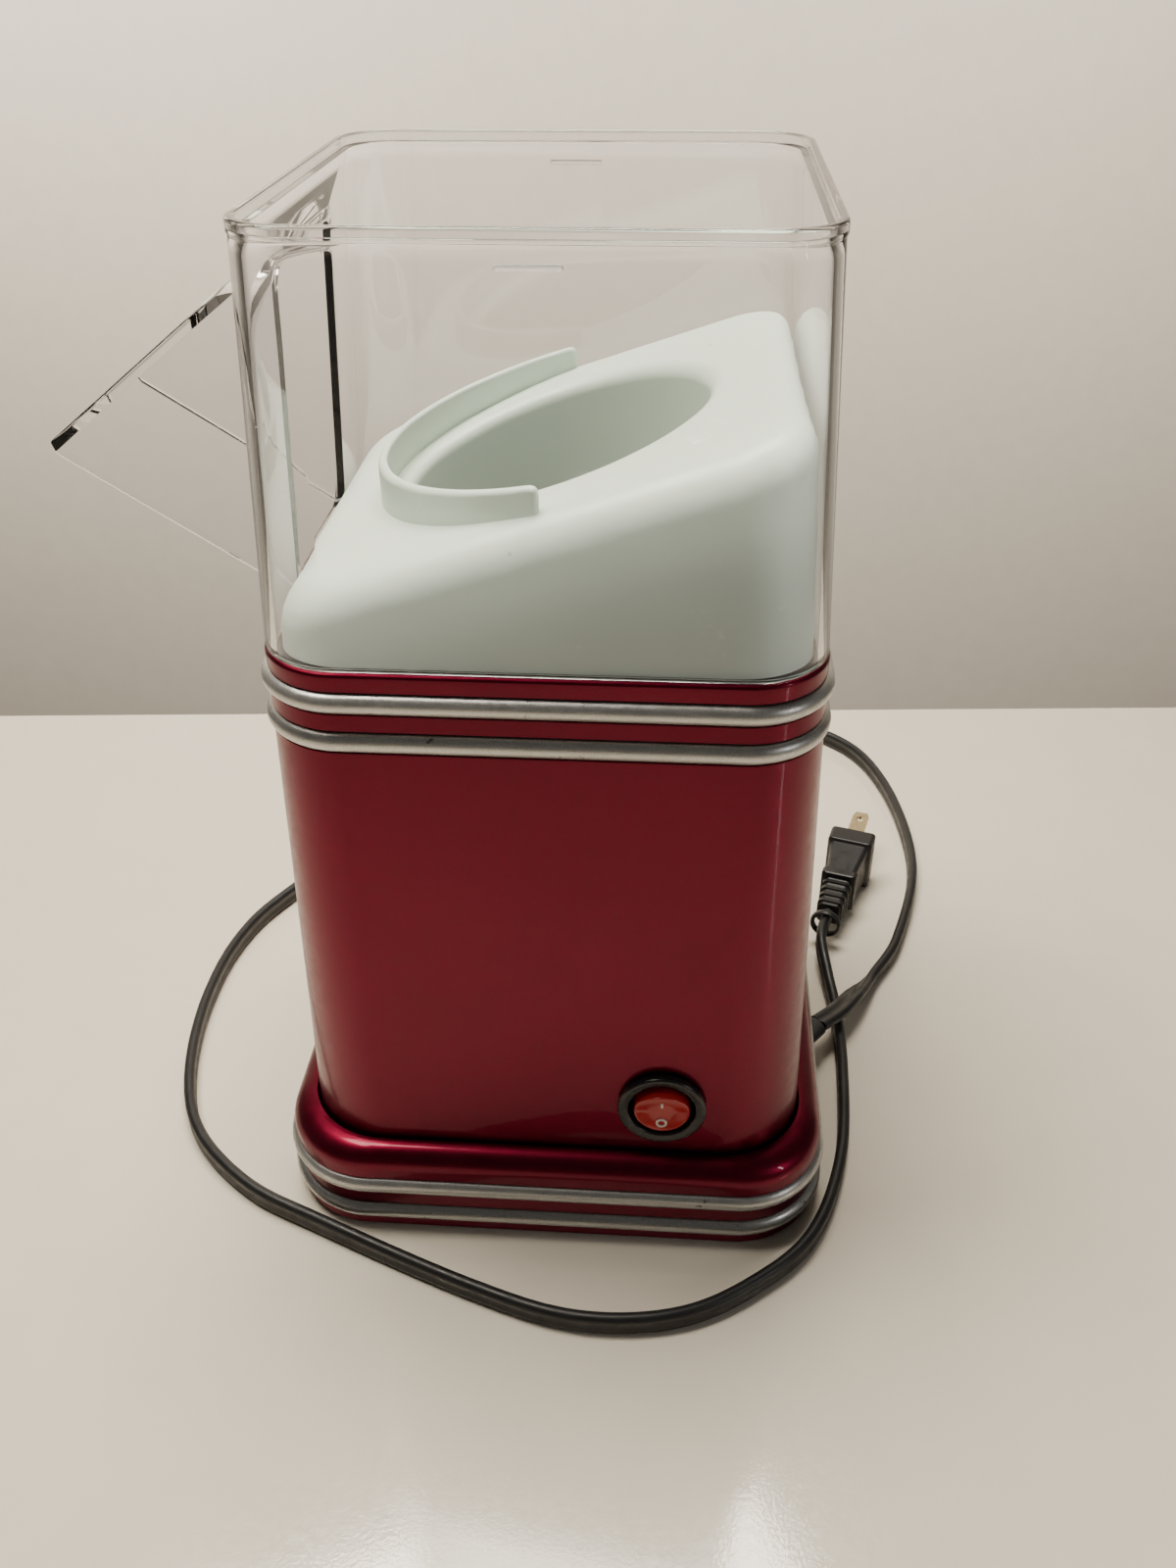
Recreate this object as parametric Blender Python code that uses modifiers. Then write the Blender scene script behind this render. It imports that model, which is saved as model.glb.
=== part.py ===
"""Retro hot-air popcorn maker, built from separate pieces.

A square red housing stands on a wider stepped plinth with silver beads. A clear tapered
cover with a chute hood stands on it over a white sloped insert, whose throat opens into
the popping chamber. Inside are the heater, the fan and its motor, the rectifier, the
thermostat and the switch. A flat cord leaves the right side and lies round the object.

Metres, +Z up. The housing is square about the empty "popcorn_maker", and the switch faces -Y.
The empty is moved along X so that the whole object's box is centred on the origin.
"""
import math

import bmesh
import bpy
from mathutils import Matrix, Vector

GAP = 0.0003                     # air left between touching pieces
BODY_X = 0.0201                  # centres the box: the chute hood overhangs one side only
CORNER_STEPS = 6                 # segments in a rounded corner
WELD = 0.00001

# Plinth, with two silver beads let into its wall
PLINTH_HALF = 0.0798
PLINTH_CORNER = 0.0260           # at the wall; other rings keep the same centres
PLINTH_BOTTOM = 0.0008
PLINTH_WALL = 0.0022
SHOULDER_FOOT = 0.0245           # height where the shoulder's quarter round starts
SHOULDER_RADIUS = 0.0065
BASE_BEAD_RADIUS = 0.0028
BASE_BEAD_HEIGHTS = (0.0180, 0.0072)
BASE_BEAD_REACH = 0.0813         # half-width at the bead's crown

# Housing
BODY_FOOT_HALF = 0.0725          # half-width at BODY_FOOT_HEIGHT
BODY_FOOT_HEIGHT = 0.030
BODY_DRAFT = 0.026               # half-width lost for each unit of height
BODY_CORNER = 0.024              # at the same height; other rings keep the same centres
BODY_WALL = 0.0024
BODY_TOP = 0.1827
LEDGE_INNER_HALF = 0.062
LEDGE_THICKNESS = 0.0025
TOP_BEAD_RADIUS = 0.00265
TOP_BEAD_HEIGHTS = (0.1748, 0.1643)
TOP_BEAD_REACH = 0.0705
BEAD_RECESS = 0.0010             # depth of the groove a bead sits in
BEAD_BACK = 0.0007               # how far the bead reaches into it

# Base plate, feet and screws
PLATE_BOTTOM = 0.0029
PLATE_THICKNESS = 0.0025
PLATE_TOP = PLATE_BOTTOM + PLATE_THICKNESS
VENT_ROWS = 4                    # rows of vents on each side of the middle one
VENT_PITCH = 0.0068
VENT_HALF = 0.0017
VENT_REACH = 0.032               # radius of the round field of vents
FOOT_RADIUS = 0.0085
FOOT_PLACE = 0.058
SCREW_X = 0.0665
SCREW_Y = 0.036
SCREW_HEAD_RADIUS = 0.0032
SCREW_SHANK_RADIUS = 0.0015
SCREW_REACH = 0.0135             # from the head's underside into the boss
BOSS_RADIUS = 0.0048
BOSS_HEIGHT = 0.016
BOSS_CAP = 0.003                 # solid material over the screw's hole

# Clear cover with its chute hood
COVER_BOTTOM = 0.183
COVER_BOTTOM_HALF = 0.0683
COVER_TOP = 0.280
COVER_TOP_HALF = 0.0632
COVER_CORNER = 0.0195
COVER_WALL = 0.0025
RIM_HEIGHT = 0.0034
RIM_PROUD = 0.0005
LEDGE_DEPTH = 0.0026
HOOD_HALF = 0.031
HOOD_PLATE = 0.0025
HOOD_LIP = (-0.1205, 0.2205)     # x and z of the lip's lower edge
HOOD_LIP_TOP = (-0.1215, 0.2235)
HOOD_ROOT_TOP = 0.2685
HOOD_ROOT_BOTTOM = 0.1855
CHUTE_HALF = 0.0285
CHUTE_TOP = 0.2640
CHUTE_BOTTOM = 0.1870
DOORWAY_CORNER = 0.006
BEYOND = 0.030                   # how far a cutting shape runs past what it cuts

# White insert: a sloped deck with a throat and a curved guard wall
INSERT_BOTTOM_HALF = 0.0650
INSERT_DRAFT = 0.05
INSERT_CORNER = 0.0185
INSERT_WALL = 0.0022
SLOPE_CENTRE = 0.219             # height of the slope over the axis
SLOPE_RISE = 0.339               # rise for each unit of +X
INSERT_FILLET = 0.010
THROAT_RADIUS = 0.0383
THROAT_LIP = 0.004
THROAT_BOTTOM = 0.1820
SIDE_STEPS = 4                   # segments in each straight side of the insert's rings
INSERT_POINTS = 4 * (CORNER_STEPS + SIDE_STEPS)
GUARD_CENTRE_X = 0.011
GUARD_RADIUS = 0.0576
GUARD_THICKNESS = 0.0025
GUARD_HALF_TURN = math.radians(79)
GUARD_TALL = 0.0105
GUARD_LOW = 0.0062
GUARD_STEPS = 20

# Popping chamber, heater and fan
DECK_TOP = BODY_TOP - LEDGE_THICKNESS - GAP
DECK_THICKNESS = 0.0024
DECK_HALF = 0.0655
DECK_HOLE = 0.0400
CHAMBER_RADIUS = 0.0375
CHAMBER_WALL = 0.0010
CHAMBER_FLANGE = 0.0460
CHAMBER_FLOOR = 0.0980
CHAMBER_SLOTS = 12
SLOT_SIZE = (0.012, 0.0022, 0.010)
SLOT_LEAN = math.radians(25)     # turns the air as it comes in
SLOT_ABOVE_FLOOR = 0.014
HEATER_RADIUS = 0.0462
HEATER_WALL = 0.0012
FAN_BOX_RADIUS = 0.0500
FAN_BOX_WALL = 0.0016
FAN_BOX_BOTTOM = 0.034
FAN_BOX_TOP = 0.0617
FAN_INTAKE = 0.024
FAN_LEG_PLACE = 0.043
FAN_LEG_RADIUS = 0.004
FAN_RADIUS = 0.044
FAN_BOTTOM = 0.0395
FAN_TOP = 0.0570
FAN_BLADES = 12
FAN_BLADE_THICKNESS = 0.0014
FAN_HUB = 0.0075
SHAFT_RADIUS = 0.00115
MOTOR_RADIUS = 0.0138
MOTOR_BOTTOM = 0.0085
MOTOR_TOP = 0.0319
MICA_HALF = 0.0435
MICA_THICKNESS = 0.0008
MICA_BOTTOM = 0.066
MICA_TOP = 0.092
COIL_WIRE = 0.0009
COIL_TURNS = 3
COIL_INNER = 0.014
COIL_OUTER = 0.038
BOARD_Y = 0.0575                 # the rectifier and its board lie behind the fan housing
BOARD_SIZE = (0.034, 0.016, 0.0016)
RECTIFIER_SIZE = (0.015, 0.008, 0.010)
FUSE_RADIUS = 0.002
THERMOSTAT_RADIUS = 0.008

# Switch, on the front wall
SWITCH_X = 0.0322
SWITCH_Z = 0.0490
BEZEL_RADIUS = 0.01245
BEZEL_OPENING = 0.0094
BEZEL_BARREL = 0.0101
BEZEL_PROUD = 0.0020
BARREL_DEPTH = 0.013
CASE_FRONT = 0.0052              # depth of the switch's case behind the front wall
CASE_BACK = 0.0215
TERMINAL_SIZE = (0.0008, 0.0075, 0.0048)
TERMINAL_PLACE = 0.0045
ROCKER_RADIUS = 0.0080
ROCKER_CREASE = 0.0026           # from the pivot to the line where its two faces meet
ROCKER_TILT = math.radians(9)    # each way from the middle; off is the rest position
ROCKER_PIVOT_DEPTH = 0.0010      # the pivot's depth behind the front wall

# Flat cord, which stands on its edge on the table
CORD_RADIUS = 0.0036
RELIEF_TURN = math.radians(43)
RELIEF_EXIT = (0.0840, 0.0020, 0.0126)
RELIEF_LENGTH = 0.026
CORD_POINT_STEP = 0.0145
CORD_ROUTE = (
    (0.0844, 0.0024, 0.0126), (0.0915, 0.0100, 0.0117), (0.0972, 0.0190, 0.0100),
    (0.1018, 0.0280, 0.0066), (0.1060, 0.0360, 0.0041), (0.1184, 0.0585, 0.0036),
    (0.1302, 0.1084, 0.0036), (0.1247, 0.1658, 0.0036), (0.1061, 0.2010, 0.0036),
    (0.0640, 0.2190, 0.0036), (0.0060, 0.2140, 0.0036), (-0.0420, 0.1840, 0.0036),
    (-0.0770, 0.1340, 0.0036), (-0.1161, 0.0736, 0.0036),
    (-0.1286, 0.0440, 0.0036), (-0.1312, 0.0100, 0.0036), (-0.1262, -0.0250, 0.0036),
    (-0.1150, -0.0510, 0.0036), (-0.0935, -0.0710, 0.0036), (-0.0671, -0.0835, 0.0036),
    (-0.0203, -0.1024, 0.0036), (0.0100, -0.1105, 0.0036), (0.0380, -0.1080, 0.0036),
    (0.0600, -0.0960, 0.0036), (0.0780, -0.0775, 0.0036), (0.0886, -0.0472, 0.0036),
    (0.0922, -0.0100, 0.0036), (0.0922, 0.0180, 0.0036), (0.0905, 0.0340, 0.0058),
    (0.0889, 0.0500, 0.0100), (0.0924, 0.0630, 0.0109),
)

# Plug: it stands on its narrow edge, blades one above the other
PLUG_TURN = math.radians(-16.9)  # from +Y towards +X
PLUG_PLACE = (0.1038, 0.1005, 0.0109)
BLADE_APART = 0.0127
BLADE_SIZE = (0.00635, 0.0175, 0.0015)
BLADE_HOLE = 0.0016
BLADE_HOLE_FROM_TIP = 0.0045
PLUG_FACE = 0.0045               # front face ahead of PLUG_PLACE
PLUG_SECTIONS = (                # along the plug, then half-width and half-height
    (-0.0385, 0.0040, 0.0042), (-0.0340, 0.0042, 0.0044), (-0.0336, 0.0048, 0.0052),
    (-0.0318, 0.0048, 0.0052), (-0.0314, 0.0044, 0.0047), (-0.0290, 0.0046, 0.0050),
    (-0.0286, 0.0053, 0.0058), (-0.0266, 0.0053, 0.0058), (-0.0262, 0.0048, 0.0054),
    (-0.0236, 0.0052, 0.0060), (-0.0232, 0.0066, 0.0080), (-0.0200, 0.0068, 0.0083),
    (-0.0194, 0.0056, 0.0072), (-0.0040, 0.0076, 0.0094), (-0.0034, 0.0086, 0.0106),
    (0.0039, 0.0088, 0.0108), (PLUG_FACE, 0.0083, 0.0103),
)

RED = (0.33, 0.012, 0.022)
SILVER = (0.60, 0.60, 0.59)
BLACK = (0.015, 0.015, 0.016)
STEEL = (0.55, 0.56, 0.57)
WHITE = (0.80, 0.83, 0.76)


# ---------------------------------------------------------------- helpers

def start_scene():
    """Empties the scene and makes the collections and the empty that carries every piece."""
    for thing in list(bpy.data.objects):
        bpy.data.objects.remove(thing)
    groups = []
    for name in ("popcorn_maker", "cutters"):
        group = bpy.data.collections.new(name)
        bpy.context.scene.collection.children.link(group)
        groups.append(group)
    root = bpy.data.objects.new("popcorn_maker", None)
    root.location = (BODY_X, 0, 0)
    groups[0].objects.link(root)
    return groups[0], groups[1], root


PARTS, CUTTERS, ROOT = start_scene()


def material(name, colour, roughness=0.45, metallic=0.0, alpha=1.0):
    made = bpy.data.materials.new(name)
    made.use_nodes = True
    shader = made.node_tree.nodes["Principled BSDF"]
    shader.inputs["Base Color"].default_value = (*colour, 1)
    shader.inputs["Roughness"].default_value = roughness
    shader.inputs["Metallic"].default_value = metallic
    shader.inputs["Alpha"].default_value = alpha
    made.diffuse_color = (*colour, alpha)
    return made


def add(name, mesh, place=(0, 0, 0), turn=(0, 0, 0)):
    """Puts a mesh or curve in the parts collection, carried by the empty."""
    thing = bpy.data.objects.new(name, mesh)
    PARTS.objects.link(thing)
    thing.parent = ROOT
    thing.location = place
    thing.rotation_euler = turn
    return thing


def finish(thing, look, edge=35):
    """Gives a piece its own material and smooth shading broken at its edges."""
    thing.data.materials.clear()
    thing.data.materials.append(look)
    if thing.type == "MESH":
        thing.data.shade_smooth()
        thing.data.set_sharp_from_angle(angle=math.radians(edge))
    return thing


def as_guide(thing):
    PARTS.objects.unlink(thing)
    CUTTERS.objects.link(thing)
    thing.hide_render = True
    thing.display_type = "WIRE"
    return thing


def boolean(target, tool, operation):
    modifier = target.modifiers.new(operation.lower() + "_" + tool.name, "BOOLEAN")
    modifier.operation = operation
    modifier.solver = "EXACT"
    modifier.object = as_guide(tool)


def cut(target, tool):
    boolean(target, tool, "DIFFERENCE")


def unite(target, tool):
    boolean(target, tool, "UNION")


def mesh_of(thing):
    """Turns a curve object into a closed mesh object of the same name and place."""
    bpy.context.view_layer.update()
    evaluated = thing.evaluated_get(bpy.context.evaluated_depsgraph_get())
    mesh = bpy.data.meshes.new_from_object(evaluated)
    shape = bmesh.new()
    shape.from_mesh(mesh)
    bmesh.ops.remove_doubles(shape, verts=shape.verts, dist=WELD)
    bmesh.ops.recalc_face_normals(shape, faces=shape.faces)
    shape.to_mesh(mesh)
    shape.free()
    name = thing.name
    place, turn = thing.location.copy(), thing.rotation_euler.copy()
    bpy.data.objects.remove(thing)
    return add(name, mesh, place, turn)


def box(name, size, place, turn=(0, 0, 0), round_edge=0.0):
    shape = bmesh.new()
    bmesh.ops.create_cube(shape, size=1)
    bmesh.ops.scale(shape, vec=size, verts=shape.verts)
    mesh = bpy.data.meshes.new(name)
    shape.to_mesh(mesh)
    shape.free()
    thing = add(name, mesh, place, turn)
    if round_edge:
        bevel = thing.modifiers.new("edges", "BEVEL")
        bevel.width = round_edge
        bevel.segments = 2
    return thing


def rod(name, radius, start, end, sides=24, top_radius=None):
    """A cylinder or cone between two points."""
    start, end = Vector(start), Vector(end)
    shape = bmesh.new()
    bmesh.ops.create_cone(shape, cap_ends=True, segments=sides, radius1=radius,
                          radius2=radius if top_radius is None else top_radius,
                          depth=(end - start).length)
    mesh = bpy.data.meshes.new(name)
    shape.to_mesh(mesh)
    shape.free()
    turn = Vector((0, 0, 1)).rotation_difference(end - start).to_euler()
    return add(name, mesh, (start + end) / 2, turn)


def turned(name, profile, steps=40, closed=True, place=(0, 0, 0), turn=(0, 0, 0)):
    """A profile of (radius, height) pairs, turned about Z. It runs down the outer side."""
    mesh = bpy.data.meshes.new(name)
    count = len(profile)
    edges = [(index, (index + 1) % count) for index in range(count if closed else count - 1)]
    mesh.from_pydata([(radius, 0, height) for radius, height in profile], edges, [])
    thing = add(name, mesh, place, turn)
    screw = thing.modifiers.new("turn", "SCREW")
    screw.steps = steps
    screw.render_steps = steps
    screw.use_merge_vertices = True
    screw.merge_threshold = WELD
    return thing


def rounded_square(half, radius, side_steps=1):
    """Points of a square of half-width half with round corners, anticlockwise from the +X side."""
    points = []
    for corner in range(4):
        middle = math.radians(45 + 90 * corner)
        centre = Vector((math.cos(middle), math.sin(middle))) * math.sqrt(2) * (half - radius)
        for step in range(CORNER_STEPS + 1):
            angle = math.radians(90 * corner + 90 * step / CORNER_STEPS)
            points.append(centre + radius * Vector((math.cos(angle), math.sin(angle))))
        along = Vector((-math.sin(angle), math.cos(angle))) * 2 * (half - radius)
        points += [points[-1] + along * step / side_steps for step in range(1, side_steps)]
    return points


def circle(radius, count, centre=(0, 0)):
    return [Vector((centre[0] + radius * math.cos(math.tau * step / count),
                    centre[1] + radius * math.sin(math.tau * step / count)))
            for step in range(count)]


def flat_curve(name, outlines, fill="BOTH", thickness=0.0):
    curve = bpy.data.curves.new(name, "CURVE")
    curve.dimensions = "2D"
    curve.fill_mode = fill
    curve.extrude = thickness / 2
    for outline in outlines:
        spline = curve.splines.new("POLY")
        spline.points.add(len(outline) - 1)
        for point, (across, up) in zip(spline.points, outline):
            point.co = (across, up, 0, 1)
        spline.use_cyclic_u = True
    return curve


def plate(name, outlines, thickness, place=(0, 0, 0), turn=(0, 0, 0)):
    """A flat outline, with holes if it has several, thickened both ways from its plane."""
    return mesh_of(add(name, flat_curve(name, outlines, "BOTH", thickness), place, turn))


def level_plate(name, outlines, bottom, top):
    return plate(name, outlines, top - bottom, (0, 0, (bottom + top) / 2))


def ring(name, half, corner, section):
    """A wall whose section, (half-width, height) pairs, is carried round a rounded square."""
    outline = [(half - across, up) for across, up in section]
    guide = add(name + "_section", flat_curve(name, [outline], "NONE"))
    path = add(name, flat_curve(name, [rounded_square(half, corner)], "NONE"))
    path.data.bevel_mode = "OBJECT"
    path.data.bevel_object = guide
    made = mesh_of(path)
    bpy.data.objects.remove(guide)
    return made


def loft(name, rings, closed=False, place=(0, 0, 0), turn=(0, 0, 0)):
    """Skins rings of equally many points. closed joins the last to the first; else caps."""
    shape = bmesh.new()
    loops = [[shape.verts.new(point) for point in points] for points in rings]
    pairs = list(zip(loops, loops[1:] + loops[:1] if closed else loops[1:]))
    for low, high in pairs:
        for index in range(len(low)):
            following = (index + 1) % len(low)
            shape.faces.new((low[index], low[following], high[following], high[index]))
    if not closed:
        shape.faces.new(loops[0][::-1])
        shape.faces.new(loops[-1])
    bmesh.ops.recalc_face_normals(shape, faces=shape.faces)
    mesh = bpy.data.meshes.new(name)
    shape.to_mesh(mesh)
    shape.free()
    return add(name, mesh, place, turn)


def half_round(reach, height, radius, back):
    """A bead's section: a flat back, and a crown that bulges to half-width reach."""
    turns = [math.radians(angle) for angle in range(-90, 91, 30)]
    return [(back + (reach - back) * math.cos(turn), height + radius * math.sin(turn)) for turn in turns]


# ---------------------------------------------------------------- housing

def body_half(height):
    return BODY_FOOT_HALF - BODY_DRAFT * (height - BODY_FOOT_HEIGHT)


def body_corner(half):
    return BODY_CORNER + half - BODY_FOOT_HALF


def plinth_corner(half):
    return PLINTH_CORNER + half - PLINTH_HALF


def groove(outer, heights, radius):
    """The steps of a wall's outer side round beads at these heights, lowest bead first."""
    steps = []
    for height in sorted(heights):
        low, high = height - radius - GAP, height + radius + GAP
        depth = outer(height) - BEAD_RECESS
        steps += [(outer(low), low), (depth, low), (depth, high), (outer(high), high)]
    return steps


def body_shell():
    bottom = PLATE_TOP + GAP
    outer = [(body_half(bottom), bottom)] + groove(body_half, TOP_BEAD_HEIGHTS, TOP_BEAD_RADIUS)
    top_half = body_half(BODY_TOP)
    section = outer + [
        (top_half + 0.0002, BODY_TOP - 0.0022), (top_half - 0.0004, BODY_TOP - 0.0006),
        (COVER_BOTTOM_HALF - 0.0003, BODY_TOP), (top_half - BODY_WALL, BODY_TOP),
        (body_half(bottom) - BODY_WALL, bottom),
    ]
    shell = ring("body_shell", BODY_FOOT_HALF, BODY_CORNER, section)
    for index, (x, y) in enumerate(screw_places()):
        boss_top = bottom + BOSS_HEIGHT
        unite(shell, rod(f"boss_{index}", BOSS_RADIUS, (x, y, bottom), (x, y, boss_top), 16))
        cut(shell, rod(f"boss_hole_{index}", SCREW_SHANK_RADIUS + GAP, (x, y, bottom - 0.001),
                       (x, y, boss_top - BOSS_CAP), 12))
    cut(shell, cord_slot("body_slot", body_half(RELIEF_EXIT[2])))
    front = -body_half(SWITCH_Z)
    cut(shell, rod("switch_hole", BEZEL_BARREL + GAP, (SWITCH_X, front - 0.01, SWITCH_Z),
                   (SWITCH_X, front + 0.01, SWITCH_Z), 32))
    return finish(shell, material("red_body", RED, 0.16))


def plinth_wall(height):
    return PLINTH_HALF if height > BASE_BEAD_HEIGHTS[0] else PLINTH_HALF - 0.0002


def plinth():
    centre = PLINTH_HALF - SHOULDER_RADIUS
    turns = [math.radians(angle) for angle in range(0, 91, 18)]
    shoulder = [(centre + SHOULDER_RADIUS * math.cos(turn), SHOULDER_FOOT + SHOULDER_RADIUS * math.sin(turn))
                for turn in turns]
    top = SHOULDER_FOOT + SHOULDER_RADIUS
    lip = body_half(SHOULDER_FOOT) + 0.0004
    inner = PLINTH_HALF - PLINTH_WALL
    section = ([(PLINTH_HALF, PLINTH_BOTTOM)] + groove(plinth_wall, BASE_BEAD_HEIGHTS, BASE_BEAD_RADIUS)
               + shoulder
               + [(lip, top - 0.0012), (lip, top - 0.0040), (inner - 0.0035, SHOULDER_FOOT + 0.0010),
                  (inner, SHOULDER_FOOT - 0.0035), (inner, PLINTH_BOTTOM)])
    wall = ring("plinth", PLINTH_HALF, PLINTH_CORNER, section)
    cut(wall, cord_slot("plinth_slot", PLINTH_HALF))
    return finish(wall, material("red_plinth", RED, 0.18))


def cord_slot(name, wall_half):
    """The opening through a side wall that the strain relief passes, on its slanting line."""
    height = BASE_BEAD_HEIGHTS[0] - BASE_BEAD_HEIGHTS[1] - 2 * (BASE_BEAD_RADIUS + GAP)
    along = (RELIEF_EXIT[0] - wall_half) * math.tan(RELIEF_TURN)
    return box(name, (0.012, 0.0215, height - 0.0002), (wall_half, RELIEF_EXIT[1] - along, RELIEF_EXIT[2]))


def beads():
    silver = material("silver_bead", SILVER, 0.38, 0.8)
    for name, height in zip(("trim_top_upper", "trim_top_lower"), TOP_BEAD_HEIGHTS):
        back = body_half(height) - BEAD_BACK
        section = half_round(TOP_BEAD_REACH, height, TOP_BEAD_RADIUS, back)
        finish(ring(name, TOP_BEAD_REACH, body_corner(TOP_BEAD_REACH), section), silver)
    for name, height in zip(("trim_base_upper", "trim_base_lower"), BASE_BEAD_HEIGHTS):
        back = plinth_wall(height) - BEAD_BACK
        section = half_round(BASE_BEAD_REACH, height, BASE_BEAD_RADIUS, back)
        finish(ring(name, BASE_BEAD_REACH, plinth_corner(BASE_BEAD_REACH), section), silver)


def screw_places():
    return [(SCREW_X * x, SCREW_Y * y) for x in (-1, 1) for y in (-1, 1)]


def base_plate():
    half = PLINTH_HALF - PLINTH_WALL - 0.0006
    vents = []
    for row in range(-VENT_ROWS, VENT_ROWS + 1):
        middle = VENT_PITCH * row
        reach = math.sqrt(VENT_REACH ** 2 - middle ** 2)
        low, high = middle - VENT_HALF, middle + VENT_HALF
        vents.append([(-reach, low), (reach, low), (reach, high), (-reach, high)])
    holes = [circle(SCREW_SHANK_RADIUS + GAP, 10, place) for place in screw_places()]
    outline = rounded_square(half, plinth_corner(half))
    made = level_plate("base_plate", [outline] + vents + holes, PLATE_BOTTOM, PLATE_TOP)
    finish(made, material("black_base", BLACK, 0.6))


def feet_and_screws():
    rubber = material("rubber_foot", BLACK, 0.8)
    steel = material("zinc_screw", STEEL, 0.35, 0.9)
    places = [(FOOT_PLACE * x, FOOT_PLACE * y) for x in (-1, 1) for y in (-1, 1)]
    for index, (x, y) in enumerate(places, 1):
        profile = [(0, PLATE_BOTTOM - GAP), (FOOT_RADIUS, PLATE_BOTTOM - GAP), (FOOT_RADIUS, 0.0008),
                   (FOOT_RADIUS - 0.0008, 0), (0, 0)]
        finish(turned(f"foot_{index}", profile, 16, False, (x, y, 0)), rubber)
    under = PLATE_BOTTOM - GAP
    for index, (x, y) in enumerate(screw_places(), 1):
        profile = [(0, under + SCREW_REACH), (SCREW_SHANK_RADIUS, under + SCREW_REACH - 0.001),
                   (SCREW_SHANK_RADIUS, under), (SCREW_HEAD_RADIUS, under),
                   (SCREW_HEAD_RADIUS - 0.0006, under - 0.0013), (0, under - 0.0018)]
        finish(turned(f"base_screw_{index}", profile, 12, False, (x, y, 0)), steel)


# ---------------------------------------------------------------- cover and insert

def cover_half(height):
    share = (height - COVER_BOTTOM) / (COVER_TOP - COVER_BOTTOM)
    return COVER_BOTTOM_HALF + share * (COVER_TOP_HALF - COVER_BOTTOM_HALF)


def side_prism(name, outline, half_width):
    """An outline of (x, z) pairs, thickened to half_width each way along Y."""
    return plate(name, [outline], 2 * half_width, (0, 0, 0), (math.radians(90), 0, 0))


def cover():
    rim_foot = COVER_TOP - RIM_HEIGHT
    rim = COVER_TOP_HALF + RIM_PROUD
    ledge = COVER_TOP_HALF - COVER_WALL + 0.0007
    section = [
        (COVER_BOTTOM_HALF, COVER_BOTTOM), (cover_half(rim_foot), rim_foot), (rim, rim_foot + 0.0006),
        (rim, COVER_TOP - 0.0006), (rim - 0.0006, COVER_TOP), (ledge + 0.0004, COVER_TOP),
        (ledge, COVER_TOP - 0.0004), (ledge, COVER_TOP - LEDGE_DEPTH),
        (ledge - 0.0015, COVER_TOP - LEDGE_DEPTH), (ledge - 0.0015, COVER_TOP - LEDGE_DEPTH - 0.0016),
        (cover_half(COVER_TOP - 0.007) - COVER_WALL, COVER_TOP - 0.007),
        (COVER_BOTTOM_HALF - COVER_WALL, COVER_BOTTOM),
    ]
    shell = ring("cover", COVER_BOTTOM_HALF, COVER_CORNER, section)
    root_top = COVER_WALL / 2 - cover_half(HOOD_ROOT_TOP)
    root_bottom = COVER_WALL / 2 - cover_half(HOOD_ROOT_BOTTOM)
    hood = side_prism("hood_outside", [(root_bottom, HOOD_ROOT_BOTTOM), HOOD_LIP, HOOD_LIP_TOP,
                                       (root_top, HOOD_ROOT_TOP)], HOOD_HALF)
    rise = (HOOD_ROOT_TOP - HOOD_LIP_TOP[1]) / (root_top - HOOD_LIP_TOP[0])
    drop = HOOD_PLATE * math.hypot(1, rise)
    air = side_prism("hood_inside", [
        (root_top + BEYOND, HOOD_ROOT_TOP - drop + rise * BEYOND),
        (HOOD_LIP_TOP[0] - BEYOND, HOOD_LIP_TOP[1] - drop - rise * BEYOND),
        (HOOD_LIP_TOP[0] - BEYOND, HOOD_ROOT_BOTTOM - BEYOND),
        (root_top + BEYOND, HOOD_ROOT_BOTTOM - BEYOND)], CHUTE_HALF)
    cut(hood, air)
    doorway = box("chute_doorway", (BEYOND, 2 * CHUTE_HALF, CHUTE_TOP - CHUTE_BOTTOM),
                  (-COVER_BOTTOM_HALF, 0, (CHUTE_TOP + CHUTE_BOTTOM) / 2), round_edge=DOORWAY_CORNER)
    doorway.modifiers["edges"].segments = 3
    unite(shell, hood)
    cut(shell, doorway)
    return finish(shell, material("clear_cover", (0.85, 0.85, 0.88), 0.05, 0.0, 0.3))


def slope(x):
    return SLOPE_CENTRE + SLOPE_RISE * x


def sloped_square(inset, drop):
    """A rounded square that lies in the slope, inset from the insert's drafted side."""
    points = []
    for index in range(INSERT_POINTS):
        height = SLOPE_CENTRE
        for _ in range(4):
            half = INSERT_BOTTOM_HALF - INSERT_DRAFT * (height - COVER_BOTTOM) - inset
            across = rounded_square(half, INSERT_CORNER - min(inset, INSERT_FILLET), SIDE_STEPS)[index]
            height = slope(across.x) - drop
        points.append((across.x, across.y, height))
    return points


def throat_circle(radius):
    """Even points on a circle, each facing the same point of the rounded square."""
    angles = [math.radians(45) + math.tau * (index - CORNER_STEPS / 2) / INSERT_POINTS
              for index in range(INSERT_POINTS)]
    return [(radius * math.cos(angle), radius * math.sin(angle)) for angle in angles]


def sloped_circle(radius, drop):
    return [(x, y, slope(x) - drop) for x, y in throat_circle(radius)]


def level_circle(radius, height):
    return [(x, y, height) for x, y in throat_circle(radius)]


def level_square(half, height):
    return [(point.x, point.y, height) for point in rounded_square(half, INSERT_CORNER, SIDE_STEPS)]


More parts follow.
